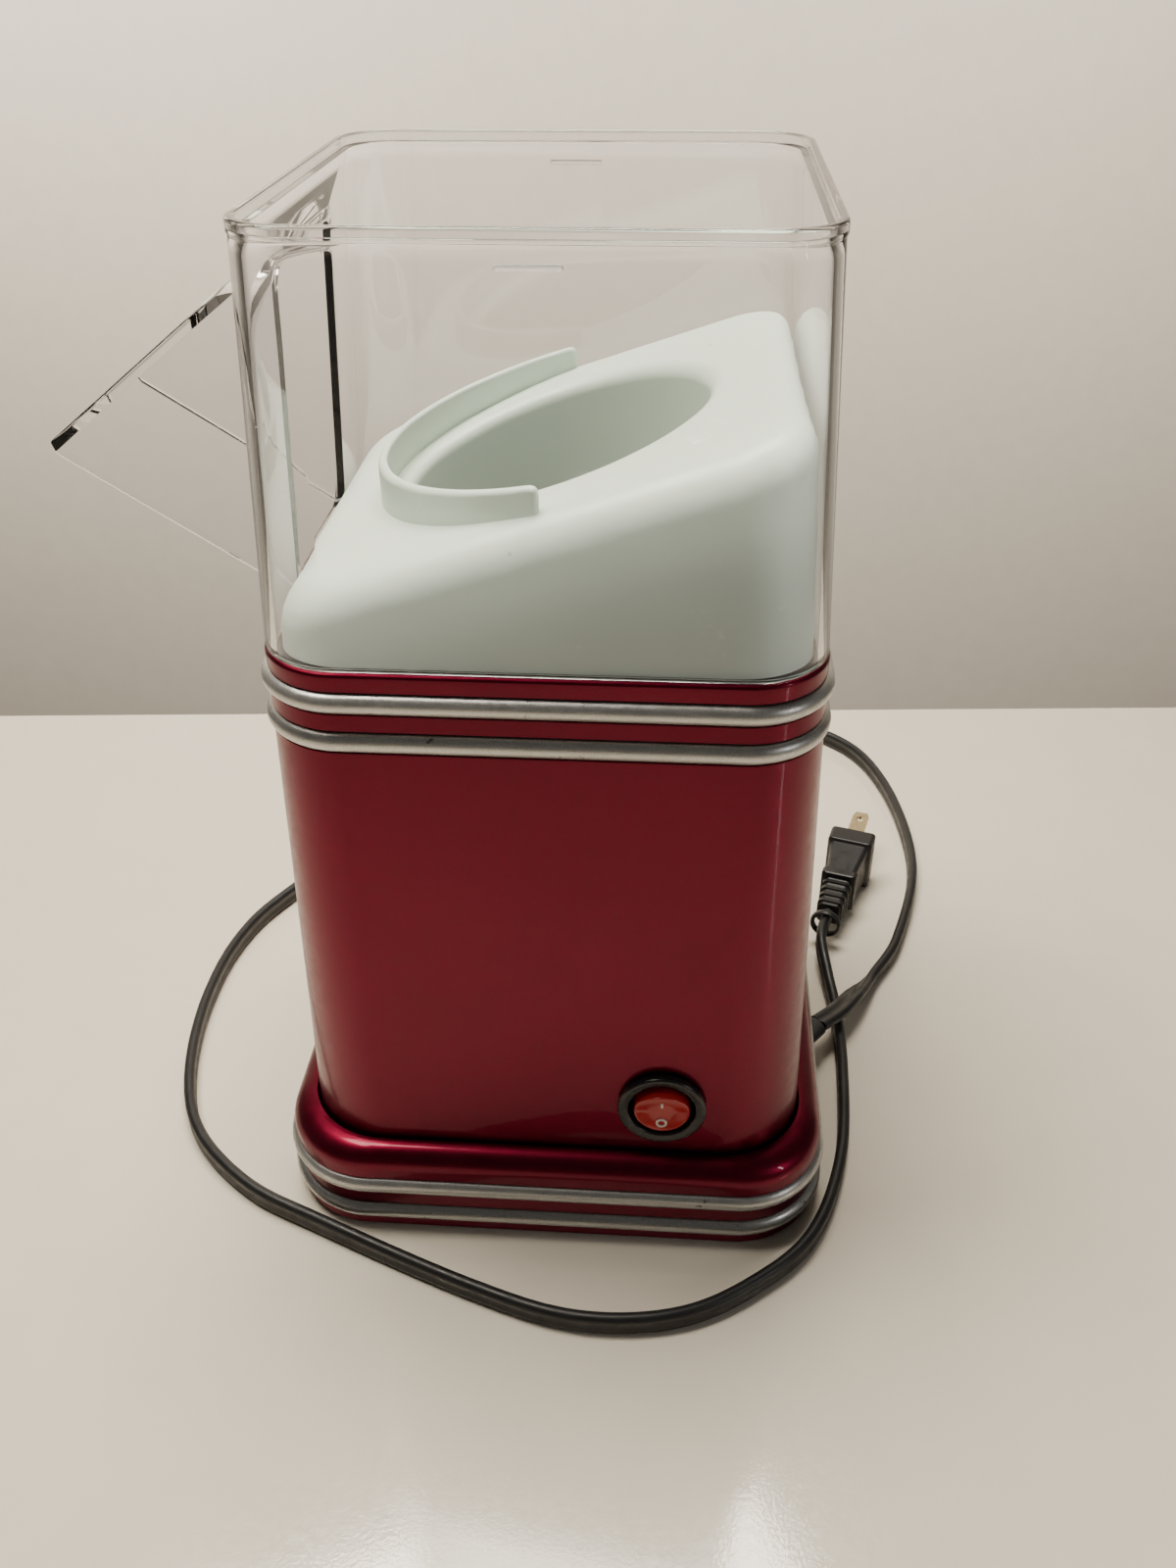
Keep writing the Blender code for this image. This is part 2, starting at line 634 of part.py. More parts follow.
def insert():
    arc = [math.radians(angle) for angle in range(0, 91, 18)]
    fillet = [sloped_square(INSERT_FILLET * (1 - math.cos(turn)), INSERT_FILLET * (1 - math.sin(turn)))
              for turn in arc]
    lip = [sloped_circle(THROAT_RADIUS + THROAT_LIP * (1 - math.sin(turn)), THROAT_LIP * (1 - math.cos(turn)))
           for turn in (arc[0], arc[2], arc[3], arc[5])]
    under_wall = INSERT_FILLET - INSERT_WALL
    rings = ([level_square(INSERT_BOTTOM_HALF, COVER_BOTTOM)] + fillet + lip
             + [level_circle(THROAT_RADIUS, THROAT_BOTTOM),
                level_circle(THROAT_RADIUS + INSERT_WALL, THROAT_BOTTOM),
                sloped_circle(THROAT_RADIUS + INSERT_WALL, 2 * THROAT_LIP),
                sloped_circle(THROAT_RADIUS + THROAT_LIP + INSERT_WALL, INSERT_WALL),
                sloped_square(INSERT_WALL + under_wall, INSERT_WALL),
                sloped_square(INSERT_WALL + under_wall / 3, INSERT_WALL + under_wall / 3),
                sloped_square(INSERT_WALL, INSERT_FILLET),
                level_square(INSERT_BOTTOM_HALF - INSERT_WALL, COVER_BOTTOM)])
    made = loft("insert", rings, closed=True)
    unite(made, guard_wall())
    return finish(made, material("white_insert", WHITE, 0.4), 40)


def guard_wall():
    """The curved wall on the slope, round the throat on the chute's side."""
    sections = []
    for step in range(GUARD_STEPS + 1):
        share = 2 * step / GUARD_STEPS - 1
        angle = math.pi + GUARD_HALF_TURN * share
        top = GUARD_LOW + (GUARD_TALL - GUARD_LOW) * math.cos(share * math.pi / 2)
        ends = []
        for radius in (GUARD_RADIUS - GUARD_THICKNESS, GUARD_RADIUS):
            x = GUARD_CENTRE_X + radius * math.cos(angle)
            ends.append((x, radius * math.sin(angle)))
        inner, outer = ends
        under = -INSERT_WALL / 2
        sections.append([(*inner, slope(inner[0]) + under), (*outer, slope(outer[0]) + under),
                         (*outer, slope(outer[0]) + top), (*inner, slope(inner[0]) + top)])
    return loft("guard_wall", sections)


# ---------------------------------------------------------------- inside

def insert_ledge():
    """The flat ring inside the housing's top edge that the insert stands on."""
    half = body_half(BODY_TOP) - BODY_WALL - GAP
    low = BODY_TOP - LEDGE_THICKNESS
    section = [(half, low), (half, BODY_TOP), (LEDGE_INNER_HALF, BODY_TOP), (LEDGE_INNER_HALF, low)]
    finish(ring("insert_ledge", half, body_corner(half), section), material("black_ledge", BLACK, 0.5))


def top_deck():
    outline = rounded_square(DECK_HALF, body_corner(DECK_HALF))
    made = level_plate("top_deck", [outline, circle(DECK_HOLE, 32)], DECK_TOP - DECK_THICKNESS, DECK_TOP)
    finish(made, material("black_deck", BLACK, 0.55))


def chamber():
    """The aluminium cup: its slots turn the hot air, and its floor rises in a low cone."""
    inner, outer = CHAMBER_RADIUS, CHAMBER_RADIUS + CHAMBER_WALL
    flange_low = DECK_TOP + GAP
    side = [(CHAMBER_FLANGE, flange_low + CHAMBER_WALL), (CHAMBER_FLANGE, flange_low), (outer, flange_low),
            (outer, CHAMBER_FLOOR + 0.004), (outer - 0.004, CHAMBER_FLOOR), (0, CHAMBER_FLOOR)]
    cup = turned("chamber", [(0, flange_low + CHAMBER_WALL)] + side, 36, False)
    air = turned("chamber_air", [
        (0, flange_low + 0.005), (inner, flange_low + 0.005), (inner, CHAMBER_FLOOR + 0.005),
        (inner - 0.004, CHAMBER_FLOOR + CHAMBER_WALL), (0.014, CHAMBER_FLOOR + 0.002),
        (0, CHAMBER_FLOOR + 0.009)], 36, False)
    cut(cup, air)
    for index in range(CHAMBER_SLOTS):
        turn = math.tau * (index + 0.5) / CHAMBER_SLOTS
        place = (inner * math.cos(turn), inner * math.sin(turn), CHAMBER_FLOOR + SLOT_ABOVE_FLOOR)
        cut(cup, box(f"chamber_slot_{index}", SLOT_SIZE, place, (SLOT_LEAN, 0, turn)))
    return finish(cup, material("aluminium_chamber", (0.62, 0.63, 0.64), 0.35, 0.9))


def heater():
    top = DECK_TOP - DECK_THICKNESS - GAP
    low = FAN_BOX_TOP + GAP
    tube = turned("heater_housing", [
        (HEATER_RADIUS, top), (HEATER_RADIUS, low + HEATER_WALL), (FAN_BOX_RADIUS, low + HEATER_WALL),
        (FAN_BOX_RADIUS, low), (HEATER_RADIUS - HEATER_WALL, low), (HEATER_RADIUS - HEATER_WALL, top)], 36)
    finish(tube, material("steel_housing", STEEL, 0.4, 0.9))
    arm, half = MICA_HALF, MICA_THICKNESS / 2
    cross = []
    for quarter in range(4):
        turn = Matrix.Rotation(math.radians(-90 * quarter), 2)
        cross += [turn @ Vector(corner) for corner in ((half, half), (arm, half), (arm, -half))]
    mica = level_plate("mica_cross", [cross], MICA_BOTTOM, MICA_TOP)
    finish(mica, material("mica", (0.55, 0.45, 0.30), 0.5))
    count = 20 * COIL_TURNS
    height = MICA_TOP + GAP + COIL_WIRE
    points = []
    for step in range(count + 1):
        radius = COIL_INNER + (COIL_OUTER - COIL_INNER) * step / count
        turn = math.tau * COIL_TURNS * step / count
        points.append((radius * math.cos(turn), radius * math.sin(turn), height))
    finish(wire("heating_coil", points, COIL_WIRE), material("nichrome", (0.40, 0.36, 0.33), 0.4, 0.9))


def wire(name, points, radius):
    """A round wire with closed ends through these points."""
    curve = bpy.data.curves.new(name, "CURVE")
    curve.dimensions = "3D"
    curve.bevel_depth = radius
    curve.bevel_resolution = 2
    curve.use_fill_caps = True
    spline = curve.splines.new("POLY")
    spline.points.add(len(points) - 1)
    for point, place in zip(spline.points, points):
        point.co = (*place, 1)
    return add(name, curve)


def fan_box():
    top, low = FAN_BOX_TOP, FAN_BOX_BOTTOM
    drum = turned("fan_housing", [
        (FAN_BOX_RADIUS, top), (FAN_BOX_RADIUS, low), (FAN_INTAKE, low), (FAN_INTAKE, low + FAN_BOX_WALL),
        (FAN_BOX_RADIUS - FAN_BOX_WALL, low + FAN_BOX_WALL), (FAN_BOX_RADIUS - FAN_BOX_WALL, top)], 36)
    for index in range(3):
        turn = math.radians(90 + 120 * index)
        x, y = FAN_LEG_PLACE * math.cos(turn), FAN_LEG_PLACE * math.sin(turn)
        leg_top = low + FAN_BOX_WALL / 2
        unite(drum, rod(f"fan_leg_{index}", FAN_LEG_RADIUS, (x, y, PLATE_TOP + GAP), (x, y, leg_top), 12))
    finish(drum, material("fan_plastic", (0.06, 0.06, 0.065), 0.5))
    arm = FAN_INTAKE + 0.006
    strip = [(-arm, -0.005), (arm, -0.005), (arm, 0.005), (-arm, 0.005)]
    bracket = level_plate("motor_bracket", [strip, circle(0.0035, 16)], MOTOR_TOP + GAP, low - GAP)
    finish(bracket, material("steel_bracket", STEEL, 0.4, 0.9))


def fan():
    """A straight-bladed wheel, cut as one outline, on the motor's shaft."""
    outline = []
    half = FAN_BLADE_THICKNESS / 2
    foot = math.asin(half / FAN_HUB)
    for blade in range(FAN_BLADES):
        turn = math.tau * blade / FAN_BLADES
        along = Vector((math.cos(turn), math.sin(turn)))
        side = Vector((-math.sin(turn), math.cos(turn))) * half
        root = FAN_HUB * math.cos(foot)
        for reach, sign in ((root, -1), (FAN_RADIUS, -1), (FAN_RADIUS, 1), (root, 1)):
            outline.append(along * reach + side * sign)
    wheel = level_plate("fan", [outline, circle(SHAFT_RADIUS + GAP, 12)], FAN_BOTTOM, FAN_TOP)
    finish(wheel, material("fan_wheel", (0.70, 0.70, 0.68), 0.5))
    shaft = rod("motor_shaft", SHAFT_RADIUS, (0, 0, MOTOR_TOP - 0.0027), (0, 0, FAN_TOP - 0.001), 12)
    finish(shaft, material("shaft_steel", STEEL, 0.25, 1.0))


def motor():
    can = rod("motor", MOTOR_RADIUS, (0, 0, MOTOR_BOTTOM), (0, 0, MOTOR_TOP), 28)
    cut(can, rod("motor_bore", SHAFT_RADIUS + GAP, (0, 0, MOTOR_TOP - 0.003), (0, 0, MOTOR_TOP + 0.003), 12))
    finish(can, material("motor_can", STEEL, 0.35, 0.9))


def electrics():
    board_bottom = PLATE_TOP + GAP
    board = box("rectifier_board", BOARD_SIZE, (0, BOARD_Y, board_bottom + BOARD_SIZE[2] / 2))
    finish(board, material("board", (0.20, 0.14, 0.06), 0.6))
    block_bottom = board_bottom + BOARD_SIZE[2] + GAP
    place = (0, BOARD_Y, block_bottom + RECTIFIER_SIZE[2] / 2)
    block = box("rectifier", RECTIFIER_SIZE, place, round_edge=0.0006)
    finish(block, material("rectifier_case", BLACK, 0.5))
    fuse_x = -HEATER_RADIUS - FUSE_RADIUS - 0.0004
    fuse = rod("thermal_fuse", FUSE_RADIUS, (fuse_x, 0, 0.104), (fuse_x, 0, 0.116), 12)
    finish(fuse, material("fuse_case", (0.65, 0.62, 0.50), 0.35, 0.7))
    disc_x = HEATER_RADIUS + 0.0004
    disc = rod("thermostat", THERMOSTAT_RADIUS, (disc_x, 0, 0.130), (disc_x + 0.006, 0, 0.130), 20)
    finish(disc, material("thermostat_case", (0.50, 0.46, 0.38), 0.35, 0.6))


# ---------------------------------------------------------------- switch

def switch():
    front = -body_half(SWITCH_Z - BEZEL_RADIUS) - GAP
    face_turn = (math.radians(90), 0, 0)
    flange = BEZEL_PROUD
    bezel = turned("switch_bezel", [
        (BEZEL_OPENING + 0.0008, flange), (BEZEL_RADIUS - 0.0010, flange), (BEZEL_RADIUS, flange - 0.0010),
        (BEZEL_RADIUS, 0), (BEZEL_BARREL, 0), (BEZEL_BARREL, -BARREL_DEPTH), (BEZEL_OPENING, -BARREL_DEPTH),
        (BEZEL_OPENING, flange - 0.0008)], 32, True, (SWITCH_X, front, SWITCH_Z), face_turn)
    finish(bezel, material("black_bezel", BLACK, 0.3))
    pivot = (SWITCH_X, front + ROCKER_PIVOT_DEPTH, SWITCH_Z)
    case = rod("switch_body", BEZEL_OPENING - GAP, (SWITCH_X, front + CASE_FRONT, SWITCH_Z),
               (SWITCH_X, front + CASE_BACK, SWITCH_Z), 24)
    finish(case, material("switch_case", BLACK, 0.55))
    brass = material("terminal_brass", (0.70, 0.50, 0.22), 0.35, 0.9)
    behind = front + CASE_BACK + GAP + TERMINAL_SIZE[1] / 2
    for index, side in enumerate((-1, 1), 1):
        place = (SWITCH_X + TERMINAL_PLACE * side, behind, SWITCH_Z)
        finish(box(f"switch_terminal_{index}", TERMINAL_SIZE, place), brass)
    rocker = rod("rocker", ROCKER_RADIUS, (0, 0.0012, 0), (0, -0.0060, 0), 28)
    mesh = rocker.data
    mesh.transform(rocker.matrix_basis)
    rocker.location = pivot
    rocker.rotation_euler = (ROCKER_TILT, 0, 0)
    crease, wing = -ROCKER_CREASE, 0.011
    edge = crease - wing * math.tan(ROCKER_TILT)
    wedge = plate("rocker_face", [[(crease, 0), (edge, wing), (-0.02, wing), (-0.02, -wing), (edge, -wing)]],
                  0.03, pivot, (0, 0, 0))
    wedge.data.transform(turn_up())
    wedge.rotation_euler = (ROCKER_TILT, 0, 0)
    cut(rocker, wedge)
    finish(rocker, material("red_rocker", (0.45, 0.02, 0.03), 0.2), 20)


def turn_up():
    """Takes an outline of (y, z) pairs from the XY plane to the YZ plane, thickened along X."""
    return Matrix(((0, 0, 1, 0), (1, 0, 0, 0), (0, 1, 0, 0), (0, 0, 0, 1)))


# ---------------------------------------------------------------- cord and plug

def oval(across, up, half_width, half_height, count=16):
    return [(across + half_width * math.cos(math.tau * step / count), up,
             half_height * math.sin(math.tau * step / count)) for step in range(count)]


def strain_relief():
    """A flat tapered sleeve, held in the plinth's slot, that turns the cord towards the back."""
    sections = ((-RELIEF_LENGTH, 0.0062), (-0.012, 0.0060), (-0.0075, 0.0054), (0.0, 0.0041))
    rings = [oval(0, along, half, 0.0020) for along, half in sections]
    sleeve = loft("strain_relief", rings, False, RELIEF_EXIT, (0, 0, RELIEF_TURN - math.pi / 2))
    finish(sleeve, material("black_relief", BLACK, 0.5))


def smooth_route(points, spacing):
    """Points at even spacing on a Catmull-Rom curve through the route."""
    route = [Vector(point) for point in points]
    ends = [2 * route[0] - route[1]] + route + [2 * route[-1] - route[-2]]
    fine = []
    for before, start, end, after in zip(ends, ends[1:], ends[2:], ends[3:]):
        for step in range(24):
            t = step / 24
            fine.append(0.5 * (2 * start + (end - before) * t
                               + (2 * before - 5 * start + 4 * end - after) * t ** 2
                               + (3 * start - before - 3 * end + after) * t ** 3))
    fine.append(route[-1])
    travelled = [0.0]
    for start, end in zip(fine, fine[1:]):
        travelled.append(travelled[-1] + (end - start).length)
    count = round(travelled[-1] / spacing)
    placed, index = [], 0
    for step in range(count + 1):
        goal = travelled[-1] * step / count
        while index < len(fine) - 2 and travelled[index + 1] < goal:
            index += 1
        share = (goal - travelled[index]) / (travelled[index + 1] - travelled[index])
        point = fine[index].lerp(fine[index + 1], share)
        point.z = max(point.z, CORD_RADIUS)
        placed.append(point)
    return placed


def cord():
    made = wire("cord", smooth_route(CORD_ROUTE, CORD_POINT_STEP), CORD_RADIUS)
    finish(made, material("black_cord", BLACK, 0.45))


def rounded_rectangle(along, half_width, half_height):
    corner = min(half_width, half_height) * 0.35
    points = []
    for quarter in range(4):
        middle = math.radians(45 + 90 * quarter)
        x = math.copysign(half_width - corner, math.cos(middle))
        z = math.copysign(half_height - corner, math.sin(middle))
        for step in range(3):
            angle = math.radians(90 * quarter + 45 * step)
            points.append((x + corner * math.cos(angle), along, z + corner * math.sin(angle)))
    return points


def plug():
    rings = [rounded_rectangle(*section) for section in PLUG_SECTIONS]
    body = loft("plug_body", rings, False, PLUG_PLACE, (0, 0, PLUG_TURN))
    finish(body, material("black_plug", BLACK, 0.4), 30)
    brass = material("blade_brass", (0.72, 0.58, 0.36), 0.3, 0.9)
    middle = Vector((-math.sin(PLUG_TURN), math.cos(PLUG_TURN), 0))
    length, thickness = BLADE_SIZE[1:]
    for index, side in enumerate((-1, 1), 1):
        lift = Vector((0, 0, side * BLADE_APART / 2))
        centre = Vector(PLUG_PLACE) + middle * (PLUG_FACE + GAP + length / 2) + lift
        blade = box(f"plug_blade_{index}", BLADE_SIZE, centre, (0, 0, PLUG_TURN))
        hole = centre + middle * (length / 2 - BLADE_HOLE_FROM_TIP)
        through = Vector((0, 0, 2 * thickness))
        cut(blade, rod(f"blade_hole_{index}", BLADE_HOLE, hole - through, hole + through, 12))
        finish(blade, brass)


body_shell()
plinth()
beads()
base_plate()
feet_and_screws()
cover()
insert()
insert_ledge()
top_deck()
chamber()
heater()
fan_box()
fan()
motor()
electrics()
switch()
strain_relief()
cord()
plug()
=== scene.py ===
"""Looks of the retro hot-air popcorn maker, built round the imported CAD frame.

Shapes are made in the housing's own coordinates (metres, housing centred on x = 0, y = 0)
and moved by SHIFT onto the frame. Heights and half-widths come from the CAD nodes' boxes.
"""
import math
from functools import cache

import bmesh
import bpy
from mathutils import Matrix, Vector


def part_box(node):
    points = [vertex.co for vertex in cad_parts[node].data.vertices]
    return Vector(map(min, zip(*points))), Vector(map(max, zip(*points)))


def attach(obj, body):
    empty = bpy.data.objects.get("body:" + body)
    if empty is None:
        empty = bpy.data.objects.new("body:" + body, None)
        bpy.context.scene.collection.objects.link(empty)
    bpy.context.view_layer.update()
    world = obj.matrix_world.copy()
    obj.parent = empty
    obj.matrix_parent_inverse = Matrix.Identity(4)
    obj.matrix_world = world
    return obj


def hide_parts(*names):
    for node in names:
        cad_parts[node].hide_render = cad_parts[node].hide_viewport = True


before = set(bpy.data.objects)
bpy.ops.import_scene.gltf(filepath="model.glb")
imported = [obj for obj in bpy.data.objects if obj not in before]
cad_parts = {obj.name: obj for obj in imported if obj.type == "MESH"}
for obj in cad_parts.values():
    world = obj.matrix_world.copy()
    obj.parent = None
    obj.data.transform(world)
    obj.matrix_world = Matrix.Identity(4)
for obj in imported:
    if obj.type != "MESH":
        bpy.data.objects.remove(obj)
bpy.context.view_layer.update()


def box_of(node):
    """A node's box in the housing's own coordinates."""
    low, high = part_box(node)
    return low - SHIFT, high - SHIFT


SHIFT = Vector((sum(corner.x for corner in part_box("body_shell")) / 2, 0, 0))
PLINTH_LOW, PLINTH_HIGH = box_of("plinth")
BODY_LOW, BODY_HIGH = box_of("body_shell")
COVER_LOW, COVER_HIGH = box_of("cover")
INSERT_LOW, INSERT_HIGH = box_of("insert")
BEZEL_LOW, BEZEL_HIGH = box_of("switch_bezel")
GAP = 0.0003

# Proportions that the boxes don't give
PLINTH_HALF = PLINTH_HIGH.y
PLINTH_CORNER = 0.0260
SHOULDER_RADIUS = 0.0065
BASE_BEAD_HEIGHTS = (0.0180, 0.0072)
BASE_BEAD_RADIUS = 0.0028
BODY_FOOT_HALF = 0.0725
BODY_FOOT_HEIGHT = 0.030
BODY_DRAFT = 0.026
BODY_CORNER = 0.024
BODY_WALL = 0.0024
TOP_BEAD_HEIGHTS = (0.1748, 0.1643)
TOP_BEAD_RADIUS = 0.00265
BEAD_RECESS = 0.0010
BEAD_BACK = 0.0007
COVER_BOTTOM_HALF = COVER_HIGH.y
COVER_TOP_HALF = 0.0632
COVER_CORNER = 0.0195
COVER_WALL = 0.0025
CHUTE_HALF = 0.0285
CHUTE_TOP = 0.2640
CHUTE_BOTTOM = 0.1870
HOOD_HALF = 0.031
HOOD_LIP = (-0.1205, 0.2205)
HOOD_LIP_TOP = (-0.1215, 0.2235)
HOOD_ROOT_TOP = 0.2685
HOOD_ROOT_BOTTOM = 0.1855
HOOD_PLATE = 0.0025
INSERT_HALF = INSERT_HIGH.y
INSERT_DRAFT = 0.05
INSERT_CORNER = 0.0185
INSERT_WALL = 0.0022
INSERT_FILLET = 0.010
SLOPE_CENTRE = 0.219
SLOPE_RISE = 0.339
THROAT_RADIUS = 0.0383
THROAT_LIP = 0.004
GUARD_CENTRE_X = 0.011
GUARD_RADIUS = 0.0576
GUARD_THICKNESS = 0.0025
GUARD_HALF_TURN = math.radians(79)
GUARD_TALL = 0.0105
GUARD_LOW = 0.0062

CORNER_STEPS = 16

# The flat cord's route, as part.py has it
CORD_WIDTH = 0.0072
CORD_ROUTE = (
    (0.0844, 0.0024, 0.0126), (0.0915, 0.0100, 0.0117), (0.0972, 0.0190, 0.0100),
    (0.1018, 0.0280, 0.0066), (0.1060, 0.0360, 0.0041), (0.1184, 0.0585, 0.0036),
    (0.1302, 0.1084, 0.0036), (0.1247, 0.1658, 0.0036), (0.1061, 0.2010, 0.0036),
    (0.0640, 0.2190, 0.0036), (0.0060, 0.2140, 0.0036), (-0.0420, 0.1840, 0.0036),
    (-0.0770, 0.1340, 0.0036), (-0.1161, 0.0736, 0.0036),
    (-0.1286, 0.0440, 0.0036), (-0.1312, 0.0100, 0.0036), (-0.1262, -0.0250, 0.0036),
    (-0.1150, -0.0510, 0.0036), (-0.0935, -0.0710, 0.0036), (-0.0671, -0.0835, 0.0036),
    (-0.0203, -0.1024, 0.0036), (0.0100, -0.1105, 0.0036), (0.0380, -0.1080, 0.0036),
    (0.0600, -0.0960, 0.0036), (0.0780, -0.0775, 0.0036), (0.0886, -0.0472, 0.0036),
    (0.0922, -0.0100, 0.0036), (0.0922, 0.0180, 0.0036), (0.0905, 0.0340, 0.0058),
    (0.0889, 0.0500, 0.0100), (0.0924, 0.0630, 0.0109),
)
RELIEF_EXIT = Vector((0.0840, 0.0020, 0.0126))
RELIEF_TURN = math.radians(43)
PLUG_PLACE = Vector((0.1038, 0.1005, 0.0109))
PLUG_TURN = math.radians(-16.9)
PLUG_FACE = 0.0045


# ---------------------------------------------------------------- camera, light and floor

CAMERA_PLACE = Vector((0.0318, -0.3390, 0.3350))
CAMERA_YAW = -0.0742
CAMERA_PITCH = 0.5871
CAMERA_ROLL = -0.0071
CAMERA_LENS = 30.98
SENSOR_WIDTH = 36
WORLD_COLOUR = (0.82, 0.78, 0.72, 1)
WORLD_STRENGTH = 0.09
LAMPS = (    # name, place, target, size, watts, colour
    ("ceiling", (-0.10, 0.10, 0.80), (-0.06, 0.03, 0), (0.60, 0.26), 13.0, (1.0, 0.92, 0.79)),
    ("wall_left", (-0.9, 0.75, 0.65), (-0.8, 1.9, 0.45), (1.0, 0.4), 34, (1.0, 0.95, 0.88)),
    ("wall_right", (0.7, 0.75, 0.60), (0.6, 1.9, 0.10), (1.0, 0.4), 24, (1.0, 0.95, 0.88)),
    ("window", (0.95, -0.55, 0.50), (0.06, -0.06, 0.07), (0.05, 0.30), 1.2, (1.0, 0.98, 0.96)),
)
TABLE_END = 0.567
WALL_AWAY = 2.2


def add_camera():
    yaw, pitch, roll = CAMERA_YAW, CAMERA_PITCH, CAMERA_ROLL
    toward = Vector((math.sin(yaw) * math.cos(pitch), math.cos(yaw) * math.cos(pitch), -math.sin(pitch)))
    level = Vector((math.cos(yaw), -math.sin(yaw), 0))
    over = level.cross(toward)
    right = math.cos(roll) * level + math.sin(roll) * over
    up = -math.sin(roll) * level + math.cos(roll) * over
    data = bpy.data.cameras.new("camera")
    data.sensor_width = SENSOR_WIDTH
    data.lens = CAMERA_LENS
    data.clip_start = 0.01
    camera = bpy.data.objects.new("camera", data)
    bpy.context.scene.collection.objects.link(camera)
    turn = Matrix((right, up, -toward)).transposed().to_4x4()
    camera.matrix_world = Matrix.Translation(CAMERA_PLACE + SHIFT) @ turn
    bpy.context.scene.camera = camera


def area_light(name, place, target, size, power, colour):
    data = bpy.data.lights.new(name, "AREA")
    data.shape = "RECTANGLE"
    data.size, data.size_y = size
    data.energy = power
    data.color = colour
    lamp = bpy.data.objects.new(name, data)
    bpy.context.scene.collection.objects.link(lamp)
    place, target = Vector(place), Vector(target)
    turn = (place - target).to_track_quat("Z", "Y").to_matrix().to_4x4()
    lamp.matrix_world = Matrix.Translation(place) @ turn
    return lamp


def add_lights():
    world = bpy.data.worlds.new("studio")
    bpy.context.scene.world = world
    world.use_nodes = True
    background = world.node_tree.nodes["Background"]
    background.inputs["Color"].default_value = WORLD_COLOUR
    background.inputs["Strength"].default_value = WORLD_STRENGTH
    for lamp in LAMPS:
        area_light(*lamp)


def slab(name, low, high):
    shape = bmesh.new()
    bmesh.ops.create_cube(shape, size=1)
    size = Vector(high) - Vector(low)
    bmesh.ops.scale(shape, vec=size, verts=shape.verts)
    bmesh.ops.translate(shape, vec=(Vector(low) + Vector(high)) / 2, verts=shape.verts)
    mesh = bpy.data.meshes.new(name)
    shape.to_mesh(mesh)
    shape.free()
    thing = bpy.data.objects.new(name, mesh)
    bpy.context.scene.collection.objects.link(thing)
    return thing


def add_stage():
    """A pale table that ends in front of a wall, both square to the camera."""
    table = slab("table", (-1.6, -1.6, -0.03), (1.6, 0.0, 0.0))
    top = plain("table", (0.86, 0.79, 0.67), 0.12, Coat_Weight=0.9, Coat_Roughness=0.06)
    table.data.materials.append(top)
    wall = slab("wall", (-4.0, 0.0, -2.2), (4.0, 0.03, 2.5))
    wall.data.materials.append(plain("wall", (0.76, 0.68, 0.56), 0.6))
    foot = Vector((CAMERA_PLACE.x, CAMERA_PLACE.y, 0)) + SHIFT
    toward = Vector((math.sin(CAMERA_YAW), math.cos(CAMERA_YAW), 0))
    for thing, away in ((table, TABLE_END), (wall, WALL_AWAY)):
        thing.data.transform(Matrix.Translation(foot + toward * away) @ Matrix.Rotation(-CAMERA_YAW, 4, "Z"))


# ---------------------------------------------------------------- material helpers

